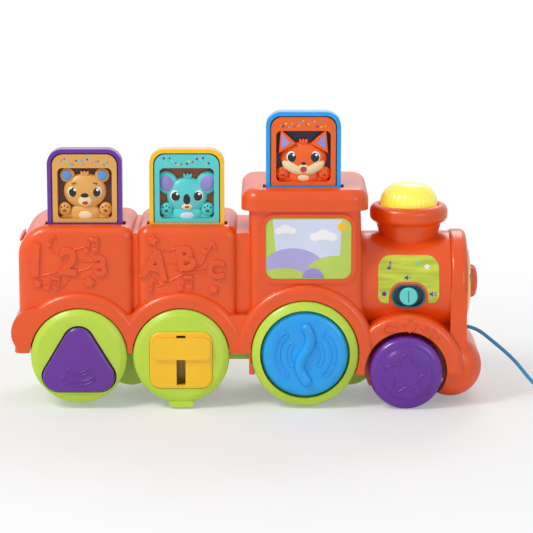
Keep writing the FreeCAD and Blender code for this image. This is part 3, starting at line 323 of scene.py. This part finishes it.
def ellipse(x, z, wide, tall, steps=28):
    return [
        (x + wide * math.cos(2 * math.pi * i / steps), z + tall * math.sin(2 * math.pi * i / steps))
        for i in range(steps)
    ]


def oblong(left, right, low, high):
    return [(left, low), (right, low), (right, high), (left, high)]


def star(x, z, outer, inner, turn=90.0, count=5):
    points = []
    for i in range(count * 2):
        angle = math.radians(turn + 180.0 * i / count)
        reach = inner if i % 2 else outer
        points.append((x + reach * math.cos(angle), z + reach * math.sin(angle)))
    return points


def moved(points, x, z, scale=1.0, turn=0.0):
    c, s = math.cos(math.radians(turn)), math.sin(math.radians(turn))
    return [(x + (a * c - b * s) * scale, z + (a * s + b * c) * scale) for a, b in points]


# Cord: one smooth line of the route that the solids follow, down to a loose coil on the floor
CORD_RADIUS = 1.5
EXIT_Z = 56.8
FLOOR = CORD_RADIUS + 0.2
QUARTER_BENDS = (16.5, 15.5, 14.5, 13.5, 12.5, 11.5, 7.5)
STEPS_PER_QUARTER = 4
route = [
    (172.5, 0.0, EXIT_Z),
    (184.0, 0.0, EXIT_Z - 0.4),
    (201.0, -1.0, 43.0),
    (218.0, -4.0, 28.5),
    (230.5, -7.5, 12.5),
    (243.0, -10.0, FLOOR),
    (256.0, -11.0, FLOOR),
]
way = Vector((route[-1][0] - route[-2][0], route[-1][1] - route[-2][1], 0)).normalized()
side = Vector((-way.y, way.x, 0))
spot = Vector(route[-1]) + way * 2 * CORD_RADIUS
step = math.radians(90 / STEPS_PER_QUARTER)
for bend in QUARTER_BENDS:
    centre = spot + side * bend
    reach = bend / math.cos(step / 2)
    for k in range(STEPS_PER_QUARTER):
        angle = (k + 0.5) * step
        route.append(tuple(centre - side * reach * math.cos(angle) + way * reach * math.sin(angle)))
    spot = centre + way * bend
    way, side = side, -way
route.append(tuple(spot + way * 2 * CORD_RADIUS))
cord_piece = tube("cord_line", [route], CORD_RADIUS, "train", CORD, rounds=5)
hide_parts("pull_cord", "pull_cord_coil")


# Raised figures on the two coaches, which stand from inside the wall to past its face
WALL, RAISED = 45.7, 47.8
TYPE_RAISED = RAISED + 0.3
TYPE_EDGE = 0.3
TYPE_SIZE = 1.38  # of the height of a capital


def words(name, text, x, z, height, lean, bold):
    """A raised letter or digit, centred at (x, z), then made a mesh."""
    data = bpy.data.curves.new(name + "_type", "FONT")
    data.body = text
    data.size = height * TYPE_SIZE * MM
    data.align_x = "CENTER"
    data.align_y = "CENTER"
    data.extrude = ((TYPE_RAISED - WALL) / 2 - TYPE_EDGE) * MM
    data.bevel_depth = TYPE_EDGE * MM
    data.bevel_resolution = 2
    data.offset = bold * MM
    data.resolution_u = 5
    holder = bpy.data.objects.new(name + "_holder", data)
    scene.collection.objects.link(holder)
    bpy.context.view_layer.update()
    graph = bpy.context.evaluated_depsgraph_get()
    mesh = bpy.data.meshes.new_from_object(holder.evaluated_get(graph))
    bpy.data.objects.remove(holder)
    middle = []
    for k in range(2):
        places = [v.co[k] for v in mesh.vertices]
        middle.append((min(places) + max(places)) / 2)
    mesh.transform(
        Matrix.Translation((x * MM, -(WALL + TYPE_RAISED) / 2 * MM, z * MM))
        @ Euler((math.radians(90), 0, 0)).to_matrix().to_4x4()
        @ Euler((0, 0, math.radians(lean))).to_matrix().to_4x4()
        @ Matrix.Translation((-middle[0], -middle[1], 0))
    )
    mesh.materials.clear()
    settle(bpy.data.objects.new(name, mesh), "train", ORANGE)


def note(name, x, z, scale, turn, pair):
    """A raised music note, single or with a beam."""
    if pair:
        loops = [
            ellipse(-4.2, -4.6, 2.5, 2.0),
            ellipse(3.2, -3.0, 2.5, 2.0),
            oblong(-3.2, -1.8, -4.2, 5.4),
            oblong(4.2, 5.6, -2.8, 6.8),
            [(-3.2, 3.4), (5.6, 4.8), (5.6, 7.4), (-3.2, 6.0)],
        ]
    else:
        loops = [
            ellipse(-2.0, -4.6, 2.8, 2.3),
            oblong(-0.7, 0.8, -4.2, 5.6),
            [(-0.7, 6.2), (0.8, 6.2), (4.6, 3.4), (4.0, 1.4), (0.8, 3.6)],
        ]
    for number, loop in enumerate(loops):
        placed = moved(loop, x, z, scale, turn)
        plate("%s_%d" % (name, number), [placed], WALL, RAISED, "train", ORANGE, 0.5)


# Name, text, x, z, height, lean and boldness
for row in (
    ("digit_1", "1", -168.3, 120.5, 25, -3, 1.3),
    ("digit_2", "2", -142.0, 119.5, 20.5, -6, 1.0),
    ("digit_3", "3", -116.8, 116.0, 15.5, 3, 0.8),
    ("letter_a", "A", -73.0, 117.0, 22.5, -10, 0.9),
    ("letter_b", "B", -48.5, 122.0, 18.5, 8, 0.9),
    ("letter_c", "C", -25.2, 113.0, 13.5, -4, 0.8),
):
    words(*row)

# Name, x, z, scale, turn and whether it is a pair
for row in (
    ("note_1", -155.4, 136.2, 0.8, -12, False),
    ("note_2", -123.6, 132.0, 0.95, -8, True),
    ("note_3", -154.8, 101.0, 0.9, -14, True),
    ("note_4", -30.3, 130.0, 1.0, -32, False),
    ("note_5", -76.0, 100.3, 0.9, -6, False),
    ("note_6", -49.0, 101.6, 0.95, -8, True),
):
    note(*row)

# x, z, reach and turn
WALL_STARS = [(-125.6, 102.6, 5.3, 84), (-166.9, 101.3, 4.4, 100), (-75.2, 136.4, 5.4, 80),
              (-27.0, 96.9, 4.7, 98)]
for number, (x, z, reach, turn) in enumerate(WALL_STARS):
    points = star(x, z, reach, reach * 0.52, turn)
    plate("wall_star_%d" % number, [points], WALL, RAISED, "train", ORANGE, 0.45)

STAVE_Y, STAVE_RADIUS = -46.1, 0.75
STAVE = [
    [(-157, 129), (-150, 124), (-136, 129), (-128, 131)],
    [(-136, 121), (-130, 118), (-122, 120)],
    [(-163, 107.5), (-151, 112), (-136, 109), (-124, 115)],
    [(-148, 97), (-141, 108), (-132, 112)],
    [(-68, 129), (-61, 127), (-57, 130)],
    [(-64, 118), (-58, 119), (-40, 112), (-32, 114)],
    [(-72, 99), (-60, 104), (-46, 112), (-34, 110)],
    [(-58, 113), (-46, 107), (-36, 118), (-33, 122)],
]
stave = [[(x, STAVE_Y, z) for x, z in run] for run in STAVE]
tube("stave", stave, STAVE_RADIUS, "train", ORANGE)

# Ribbed hand hold on the rear wall
RIBS, LOWEST_RIB, RIB_PITCH = 6, 96, 7.2
for number in range(RIBS):
    place = (-182.2, 0, LOWEST_RIB + number * RIB_PITCH)
    ball("rear_rib_%d" % number, place, (1.6, 24, 2.3), "train", ORANGE)

# Raised line figures on the front fender: name, place, whether it is smooth, and outline
FENDER_Y, FENDER_RADIUS = -49.55, 0.7
for name, place, smooth, points in (
    ("fender_cloud", (113.4, 65.6), True,
     [(-5.2, -3), (-6, -0.6), (-4, 0.8), (-2.6, 3.2), (0.2, 3.4), (1.6, 1.8), (4.0, 2.2),
      (5.8, 0.4), (5.4, -3)]),
    ("fender_diamond", (129.2, 67.4), False, [(0, 5.6), (5.6, 0), (0, -5.6), (-5.6, 0)]),
    ("fender_triangle_a", (141.4, 63.8), False, [(-3.4, 0.4), (2.0, 3.0), (2.0, -2.6)]),
    ("fender_triangle_b", (148.4, 61.2), False, [(-3.6, -3.4), (0.4, 4.0), (3.8, -3.4)]),
):
    run = [(x, FENDER_Y, z) for x, z in moved(points, *place)]
    tube(name, [run], FENDER_RADIUS, "train", ORANGE, True, smooth)


# Smile lines on the triangle
EDGE_RADIUS = 0.75  # of the rib round a curved slot
TRIANGLE, TRIANGLE_Y = (-134.5, 41.0), -57.45
smiles = [band(*TRIANGLE, inner, outer, 270, spread, TRIANGLE_Y)
          for inner, outer, spread in ((9.8, 12.6, 42), (17.4, 20.4, 38))]
tube("triangle_smile", smiles, EDGE_RADIUS, "triangle_press", PURPLE, closed=True, smooth=False)

# Yellow floor seen through the slider's slot
channel = oblong(-59.0, -47.0, 18.5, 62.0)
plate("slider_channel", [channel], 38.41, 38.53, "train", YELLOW, PRINT_EDGE)

# Round knob: crowned disc, wavy ridge and curved slots
KNOB = (45.7, 45.0)
RIDGE_POINTS, RIDGE_RADIUS, RIDGE_LENGTH, RIDGE_SWAY = 13, 4.7, 43.0, 4.4
RIDGE_Y, GRIP_Y = -53.2, -53.9
knob_back = -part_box("twist_knob")[1][1] / MM
crown = [(0.0, knob_back), (34.0, knob_back), (34.8, knob_back + 0.8), (34.8, 50.2), (34.4, 51.6),
         (33.4, 52.8), (31.8, 53.6), (29.0, 54.0), (26.0, 53.7), (22.0, 53.5), (12.0, 53.9),
         (0.0, 54.2)]
knob = lathe("knob_disc", crown, (KNOB[0], 0, KNOB[1]), (90, 0, 0), "knob", BLUE)
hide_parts("twist_knob")
ridge = []
for i in range(RIDGE_POINTS):
    t = i / (RIDGE_POINTS - 1)
    sway = RIDGE_SWAY * math.sin(2 * math.pi * (t + 0.04))
    height = RIDGE_LENGTH / 2 - RIDGE_LENGTH * t
    ridge.append((KNOB[0] + sway, RIDGE_Y, KNOB[1] + height))
tube("knob_wave", [ridge], RIDGE_RADIUS, "knob", BLUE)
for k, place in enumerate((ridge[0], ridge[-1])):
    ball("knob_wave_end_%d" % k, place, (RIDGE_RADIUS,) * 3, "knob", BLUE)
grips = [band(*KNOB, inner, outer, facing, spread, GRIP_Y)
         for facing in (180, 0)
         for inner, outer, spread in ((20.5, 24.5, 46), (11.5, 15.0, 36))]
tube("knob_grips", grips, EDGE_RADIUS, "knob", BLUE, closed=True, smooth=False)


# Front wheels: a star and a hub cap on each, and the inner walls of their wells
def soft_star(x, z, outer, inner, y, steps=40):
    """A rounded star, drawn as a closed wave."""
    points = []
    for i in range(steps):
        angle = math.radians(90 + 360.0 / steps * i)
        wave = 0.5 + 0.5 * math.cos(5 * (angle - math.pi / 2))
        reach = inner + (outer - inner) * wave
        points.append((x + reach * math.cos(angle), y, z + reach * math.sin(angle)))
    return points


WHEEL = (126.4, 29.5)
WELL_RADIUS, WELL_LOW, AXLE_HOLE_RADIUS = 32.6, 12.0, 8.4
CAP_RADIUS, CAP_DEPTH = 3.0, 3.1
for name, star_y, cap_front in (("near", -57.9, 58.1), ("far", 57.9, -55.0)):
    points = soft_star(*WHEEL, 17.0, 10.2, star_y)
    tube(name + "_wheel_star", [points], 0.9, "front_wheels", PURPLE, True)
    cap = ellipse(*WHEEL, CAP_RADIUS, CAP_RADIUS)
    plate(name + "_hub_cap", [cap], cap_front - CAP_DEPTH, cap_front, "front_wheels", PURPLE, 0.1)
well = [point for point in ellipse(*WHEEL, WELL_RADIUS, WELL_RADIUS, 72) if point[1] >= WELL_LOW]
well.sort(key=lambda p: math.atan2(p[1] - WHEEL[1], p[0] - WHEEL[0]))
axle_hole = ellipse(*WHEEL, AXLE_HOLE_RADIUS, AXLE_HOLE_RADIUS)
for name, front in (("near", 28.1), ("far", -27.1)):
    plate(name + "_well_wall", [well, axle_hole], front - 1.0, front, "train", ORANGE, 0.1)


# Window picture: sky, hills and clouds
WINDOW = (14.3, 82.3, 105.0, 154.3)  # left, right, low and high
MARGIN, CORNER = 0.9, 8


def inside(points):
    """Keeps a shape within the round cornered window."""
    left, right, low, high = WINDOW
    kept = []
    for x, z in points:
        x = min(max(x, left + MARGIN), right - MARGIN)
        z = min(max(z, low + MARGIN), high - MARGIN)
        for cx, sx in ((left + CORNER, -1), (right - CORNER, 1)):
            for cz, sz in ((low + CORNER, -1), (high - CORNER, 1)):
                reach = math.hypot(x - cx, z - cz)
                if (x - cx) * sx > 0 and (z - cz) * sz > 0 and reach > CORNER - MARGIN:
                    share = (CORNER - MARGIN) / reach
                    x, z = cx + (x - cx) * share, cz + (z - cz) * share
        kept.append((x, z))
    return kept


def hill(x, z, wide, tall, steps=48):
    """A half ellipse on its own width, down to the foot of the picture."""
    low = 100.0
    top, under = [], []
    for i in range(steps + 1):
        angle = math.pi * i / steps
        top.append((x + wide * math.cos(angle), z + tall * math.sin(angle)))
        under.append((x - wide + 2 * wide * i / steps, low))
    return inside(top + under)


def picture(name, loop, back, front, material):
    """A printed patch of the window picture."""
    plate("picture_" + name, [loop], back, front, "train", material, PRINT_EDGE)


picture("sky", inside([(24, 100), (72, 100), (75, 160), (20, 160)]), 46.74, 46.83, PALE)
picture("hill_a", hill(36, 104, 30, 26), 46.75, 46.88, LILAC)
picture("hill_b", hill(70, 104, 26, 20), 46.8, 46.92, GRASS)
picture("hill_c", hill(28, 98, 26, 16), 46.86, 46.98, GRASS)
for number, (x, z, scale) in enumerate([(30, 144, 1.0), (60, 139, 1.25)]):
    for k, (dx, dz, r) in enumerate([(-5, 0, 2.8), (0, 1.4, 3.8), (5, 0, 3.0)]):
        puff = ellipse(x + dx * scale, z + dz * scale, r * scale * 1.25, r * scale * 0.9)
        picture("cloud_%d_%d" % (number, k), inside(puff), 46.76, 46.9 + k * 0.02, WHITE)
picture("sun", ellipse(75, 147.2, 3.6, 3.6), 46.76, 46.9, YELLOW)
picture("bush", hill(52, 104, 9, 10), 46.9, 47.04, PATCH_LILAC)


# Signs on the sound label, laid on the round boiler
BOILER_Z = 94.0
LABEL_RADIUS = 41.55


def on_boiler(name, loop, x, z, material):
    """A thin sign on the label at (x, z), tilted to the boiler's surface."""
    tilt = math.degrees(math.asin((z - BOILER_Z) / LABEL_RADIUS))
    reach = (LABEL_RADIUS - 0.05) * math.cos(math.radians(tilt))
    plate(name, [loop], reach - 0.15, reach + 0.12, "train", material, PRINT_EDGE, tilt, (x, z))


def speaker_sign(name, x, z, waves):
    """A loudspeaker with curved sound waves."""
    mouth = 0.6
    cone = [(-2.2, -0.8), (-1.1, -0.8), (mouth, -2.2), (mouth, 2.2), (-1.1, 0.8), (-2.2, 0.8)]
    on_boiler(name, cone, x, z, PURPLE)
    angles = [math.radians(-45 + 9 * i) for i in range(11)]
    for k in range(waves):
        outer = 1.7 + 1.2 * k
        inner = outer - 0.5
        wave = [(mouth + outer * math.cos(a), outer * math.sin(a)) for a in angles]
        wave += [(mouth + inner * math.cos(a), inner * math.sin(a)) for a in reversed(angles)]
        on_boiler("%s_wave_%d" % (name, k), wave, x, z, PURPLE)


on_boiler("sign_off", ellipse(0, 0, 1.9, 1.9), 108.9, 91.9, PURPLE)
speaker_sign("sign_low", 127.2, 104.7, 1)
speaker_sign("sign_high", 147.2, 91.7, 2)
on_boiler("sign_note_head", ellipse(0, 0, 1.5, 1.2), 112.6, 112.0, PURPLE)
on_boiler("sign_note_stem", oblong(-0.4, 0.4, 0, 6), 113.6, 112.0, PURPLE)
on_boiler("sign_star", star(0, 0, 3.0, 1.4), 143.0, 113.0, WHITE)
on_boiler("sign_star_b", star(0, 0, 2.2, 1.0), 135.0, 116.0, TURQUOISE)
plate("volume_line", [oblong(-0.35, 0.35, -4.6, 4.6)], 42.1, 42.42, "volume_slider", TEAL, 0.05,
      at=(128.4, 89.7))

# Light dome with fine flutes
FUNNEL_X = 130.0
DOME_RADIUS, DOME_RISE = 23.2, 17.5
dome_low, dome_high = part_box("light_dome")
dome_line = [(DOME_RADIUS, dome_low[2] / MM)]
for i in range(15):
    t = math.radians(90.0 * i / 14)
    height = dome_high[2] / MM - DOME_RISE + DOME_RISE * math.sin(t) ** 0.95
    dome_line.append((DOME_RADIUS * math.cos(t) ** 0.8, height))
glass = lathe("dome_glass", dome_line, (FUNNEL_X, 0, 0), (0, 0, 0), "dome", DOME, 144, 36, 0.02)
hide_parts("light_dome")

# Face that swells past its ring, and eyes with a glint
face_line = [(33.8, 0.0), (33.8, 10.0), (32.8, 12.4), (30.0, 14.6), (25.0, 16.4), (18.6, 17.4),
             (8.0, 17.6)]
face = lathe("face_dome", face_line, (162.4, 0, BOILER_Z), (0, 90, 0), "train", YELLOW)
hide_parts("face_plate")
for sign, name in ((-1, "near"), (1, "far")):
    turn = (0, -10, sign * 30)
    ball(name + "_eye", (176.4, sign * 23.0, 103.0), (2.4, 4.8, 7.8), "train", BLACK, turn)
    ball(name + "_glint", (177.9, sign * 24.6, 106.4), (0.9, 1.4, 2.0), "train", WHITE, turn)

# Nose with soft scallops round its edge, from (radius, depth) points
NOSE_RADIUS, PETALS, NOSE_STEPS = 13.9, 12, 96
profile = [(0.0, 12.1), (6.0, 11.9), (10.5, 11.0), (12.9, 9.2), (NOSE_RADIUS, 6.5),
           (NOSE_RADIUS, 3.0), (12.6, 0.4), (0.0, 0.4)]
verts = []
for reach, depth in profile:
    for i in range(NOSE_STEPS):
        angle = 2 * math.pi * i / NOSE_STEPS
        dip = 0.075 * (0.5 - 0.5 * math.cos(PETALS * angle)) * (reach / NOSE_RADIUS) ** 2
        across = reach * (1.0 - dip) * MM
        verts.append((depth * MM, across * math.cos(angle), across * math.sin(angle)))
faces = skin(len(profile), NOSE_STEPS, flip=True)
nose = solid("scalloped_nose", verts, faces, (174.1, 0, BOILER_Z), (0, 0, 0), "train", ORANGE)
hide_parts("nose")


# Animals in the pop up windows
SIDES = ((-1, "left"), (1, "right"))
EYE = 4.1
SPOTS = 17


class Animal:
    """An animal in a window, placed from the middle of the window's foot at (x, seat)."""

    def __init__(self, name, x, seat, fur):
        self.name, self.x, self.seat, self.fur = name, x, seat, fur
        self.body = name + "_popup"

    def ball(self, part, dx, y, dz, radii, material=None, turn=0, slot=None):
        """A ball at a step from the foot, y millimetres along the frame's Y."""
        place = (self.x + dx, y, self.seat + dz)
        return ball("%s_%s" % (self.name, part), place, radii, self.body, material or self.fur,
                    (0, turn, 0))

    def plate(self, part, points, back, front, material, edge):
        """A plate whose outline is measured from the foot."""
        loop = [(self.x + dx, self.seat + dz) for dx, dz in points]
        plate("%s_%s" % (self.name, part), [loop], back, front, self.body, material, edge)

    def backdrop(self, material):
        recess = oblong(-21.5, 21.5, 4.1, 44.8)
        self.plate("backdrop", recess, 28.95, 29.15, material, PRINT_EDGE)

    def head(self, y, dz, radii, slot):
        head = self.ball("head", 0, y, dz, radii, slot=slot)
        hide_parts(self.name + "_figure")

    def eye(self, side, dx, y, dz):
        part = side + "_eye"
        self.ball(part + "_white", dx, y + 0.9, dz, (EYE * 1.12, 1.6, EYE * 1.16), WHITE)
        self.ball(part + "_dark", dx, y + 0.35, dz - 0.2, (EYE * 0.92, 1.5, EYE * 0.95), BLACK)
        self.ball(part + "_glint", dx + EYE * 0.3, y - 0.78, dz + EYE * 0.42,
                  (EYE * 0.27, 0.5, EYE * 0.27), WHITE)

    def paw(self, side, dx, dz, pads):
        part = side + "_paw"
        self.ball(part, dx, -30.6, dz, (5.2, 3.4, 5.6))
        self.ball(part + "_pad", dx, -33.4, dz - 0.8, (1.9, 0.9, 1.5), pads)
        for k, (across, up) in enumerate([(-2.2, 1.6), (0, 2.7), (2.2, 1.6)]):
            self.ball("%s_toe_%d" % (part, k), dx + across, -33.1, dz + up, (0.9, 0.8, 0.95), pads)

    def tuft(self, y, dz, radii, hairs):
        """Tufts of hair from their steps across and their turns."""
        for k, (dx, turn) in enumerate(hairs):
            self.ball("tuft_%d" % k, dx, y, dz, radii, turn=turn)

    def chest(self):
        self.ball("chest", 0, -29.4, 7.5, (12.5, 4.4, 9.0))
        foot = [(-20, 4.15), (20, 4.15), (17, 7.5), (-17, 7.5)]
        self.plate("chest_foot", foot, 29.1, 31.0, self.fur, 0.5)

    def dots(self, colours):
        """Printed spots on the top band of the panel."""
        for k in range(SPOTS):
            dx = -19.0 + 38.0 * (k + 0.5) / SPOTS + rng.uniform(-0.7, 0.7)
            dz = 47.4 + rng.uniform(0.0, 5.6)
            r = rng.choice([0.65, 0.8, 1.0])
            self.plate("spot_%d" % k, ellipse(dx, dz, r, r, 14), 35.3, 35.5,
                       colours[k % len(colours)], PRINT_EDGE)


bear = Animal("bear", -129.2, 147.5, TAN)
bear.backdrop(MAROON)
bear.head(-30.2, 26, (17.0, 5.6, 14.4), "tan")
for sign, side in SIDES:
    bear.ball(side + "_ear", sign * 13.8, -31.4, 38.8, (5.9, 2.6, 5.9))
    bear.ball(side + "_ear_patch", sign * 14.0, -33.1, 38.8, (4.2, 1.5, 4.2), PATCH)
    bear.eye(side, sign * 9.0, -34.5, 25.6)
    bear.ball(side + "_brow", sign * 8.6, -34.8, 32.6, (2.2, 0.7, 0.55), BROWN, sign * 12)
    bear.paw(side, sign * 16.4, 11.4, BROWN)
bear.ball("muzzle", 0, -33.4, 20.6, (6.6, 2.4, 6.6), CREAM)
bear.ball("nose", 0, -35.1, 23.0, (3.6, 1.0, 2.5), BLACK)
bear.ball("mouth", 0.3, -35.1, 17.2, (2.4, 0.7, 1.9), RED)
bear.tuft(-32.0, 40.2, (1.3, 1.6, 2.4), [(-2, -25), (0, 0), (2, 25)])
bear.chest()
bear.ball("bib", 0, -31.8, 7.0, (7.0, 2.4, 4.6), CREAM)
bear.dots([PATCH, PURPLE, TURQUOISE, PATCH_LILAC])

koala = Animal("koala", -48.2, 147.5, KOALA)
koala.backdrop(BROWN)
koala.head(-30.0, 22.5, (16.2, 5.4, 14.6), "koala")
for sign, side in SIDES:
    lean = sign * 24
    koala.ball(side + "_ear", sign * 15.6, -30.6, 32.5, (8.4, 2.8, 9.6), turn=lean)
    koala.ball(side + "_ear_patch", sign * 16.0, -32.2, 32.4, (5.8, 1.6, 6.9), PATCH_LILAC, lean)
    koala.eye(side, sign * 8.7, -34.6, 22.4)
    koala.paw(side, sign * 16.4, 11.2, TEAL)
koala.ball("nose", 0, -34.6, 20.2, (3.2, 1.3, 4.8), BLACK)
koala.ball("chin", 0, -33.2, 14.4, (4.8, 1.9, 3.6), CREAM)
koala.ball("mouth", 0, -34.9, 13.6, (1.9, 0.6, 1.0), RED)
koala.tuft(-31.2, 37.6, (1.2, 1.5, 2.9), [(-1.6, -20), (0.6, 4), (2.6, 26)])
koala.chest()
koala.ball("bib", 0, -31.8, 6.6, (7.0, 2.4, 4.2), PALE)
koala.dots([PURPLE, YELLOW, PURPLE, LABEL])

fox = Animal("fox", 44.3, 177.2, FOX)
fox.backdrop(NAVY)
fox.head(-30.0, 23.0, (18.6, 5.4, 12.8), "fox")
for sign, side in SIDES:
    ear = [(sign * 17.8, 45.6), (sign * 19.6, 27.0), (sign * 5.8, 35.0)]
    fox.plate(side + "_ear", ear, 29.1, 35.7, FOX, 0.8)
    patch = [(sign * 16.8, 42.6), (sign * 17.8, 30.4), (sign * 10.2, 35.2)]
    fox.plate(side + "_ear_patch", patch, 35.4, 35.95, PATCH_LILAC, 0.2)
    fox.eye(side, sign * 9.0, -34.6, 24.0)
    fox.ball(side + "_cheek", sign * 7.6, -32.0, 15.4, (10.2, 3.1, 5.0), CREAM, sign * -26)
    fox.paw(side, sign * 16.6, 10.6, RED)
fox.ball("muzzle", 0, -33.2, 16.4, (4.8, 2.0, 4.4), CREAM)
fox.ball("nose", 0, -34.6, 19.0, (2.2, 1.0, 1.6), BLACK)
fox.ball("mouth", 0, -34.9, 14.2, (2.6, 0.7, 2.4), RED)
fox.tuft(-32.2, 35.8, (1.2, 1.6, 2.6), [(-2, -22), (0, 0), (2, 22)])
fox.chest()
fox.ball("bib", 0, -31.8, 7.2, (6.4, 2.4, 3.8), CREAM)
fox.dots([LABEL, PURPLE, YELLOW, PATCH_LILAC])


def wound_spring(node, turns=11, wire=1.1, steps=24, sides=8):
    """A coil of round wire in the space of the solid sleeve."""
    low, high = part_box(node)
    middle = [(low[k] + high[k]) / 2 / MM for k in range(2)]
    reach = (high[0] - low[0]) / 2 / MM - wire / 2
    foot, top = low[2] / MM + wire / 2, high[2] / MM - wire / 2
    total = turns * steps
    verts = []
    for i in range(total + 1):
        turn = 2 * math.pi * i / steps
        for k in range(sides):
            around = 2 * math.pi * k / sides
            out = reach + wire / 2 * math.cos(around)
            height = foot + (top - foot) * i / total + wire / 2 * math.sin(around)
            verts.append((out * math.cos(turn) * MM, out * math.sin(turn) * MM, height * MM))
    faces = skin(total + 1, sides, flip=True)
    faces.append(tuple(range(sides)))
    faces.append(tuple(total * sides + k for k in reversed(range(sides))))
    coil = solid(node.replace("spring", "coil_spring"), verts, faces, (middle[0], middle[1], 0),
                 (0, 0, 0), "train", SPRING)
    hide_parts(node)
    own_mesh(coil)


for animal in ("bear", "koala", "fox"):
    wound_spring(animal + "_spring")


# Floor, which fades to white away from the toy where the camera sees it
floor_mesh = bpy.data.meshes.new("floor")
floor_mesh.from_pydata([(-8, -8, 0), (8, -8, 0), (8, 14, 0), (-8, 14, 0)], [], [(0, 1, 2, 3)])
floor = bpy.data.objects.new("floor", floor_mesh)
scene.collection.objects.link(floor)
floor.location.z = -0.0001
floor_material = plastic("floor_pale", (248, 248, 248), 0.7, 0.0, 0.0, mottle=0.005)
floor_mesh.materials.append(floor_material)
tree = floor_material.node_tree
link = tree.links.new
where = add(tree, "TexCoord")
away = add(tree, "VectorMath")
away.operation = "LENGTH"
link(where.outputs["Object"], away.inputs[0])
fade = add(tree, "MapRange", From_Min=0.22, From_Max=0.6, To_Min=0.3, To_Max=1.0)
link(away.outputs["Value"], fade.inputs["Value"])
path = add(tree, "LightPath")
share = add(tree, "Math")
share.operation = "MULTIPLY"
link(fade.outputs["Result"], share.inputs[0])
link(path.outputs["Is Camera Ray"], share.inputs[1])
white = add(tree, "Emission", Strength=1.0)
mix = add(tree, "MixShader")
link(share.outputs["Value"], mix.inputs["Fac"])
link(tree.nodes["Principled BSDF"].outputs["BSDF"], mix.inputs[1])
link(white.outputs["Emission"], mix.inputs[2])
link(mix.outputs["Shader"], tree.nodes["Material Output"].inputs["Surface"])

# World, white where the camera or a reflection sees it and dimmer as a light
world = bpy.data.worlds.new("world")
scene.world = world
world.use_nodes = True
tree = world.node_tree
link = tree.links.new
background = tree.nodes["Background"]
background.inputs["Color"].default_value = (1.0, 1.0, 1.0, 1.0)
path = add(tree, "LightPath")
seen = add(tree, "Math")
seen.operation = "MAXIMUM"
link(path.outputs["Is Camera Ray"], seen.inputs[0])
link(path.outputs["Is Glossy Ray"], seen.inputs[1])
level = add(tree, "MapRange", To_Min=0.42, To_Max=1.0)
link(seen.outputs["Value"], level.inputs["Value"])
link(level.outputs["Result"], background.inputs["Strength"])


def lamp(name, place, aim, size, power):
    """A round area lamp turned to a point."""
    data = bpy.data.lights.new(name, "AREA")
    data.shape = "DISK"
    data.size = size
    data.energy = power
    piece = bpy.data.objects.new(name, data)
    piece.location = place
    piece.rotation_euler = (Vector(aim) - Vector(place)).to_track_quat("-Z", "Y").to_euler()
    scene.collection.objects.link(piece)


lamp("key", (-1.0, -0.8, 1.45), (0, 0, 0.08), 0.6, 17.0)
lamp("fill", (1.1, -1.6, 0.6), (0, 0, 0.1), 0.8, 4.0)
lamp("rim", (0.3, 1.2, 1.2), (0, 0, 0.1), 0.8, 6.0)
scene.view_settings.view_transform = "Standard"

SHARP_ANGLE = math.radians(32)
for node in nodes.values():
    node.data.shade_smooth()
    node.data.set_sharp_from_angle(angle=SHARP_ANGLE)
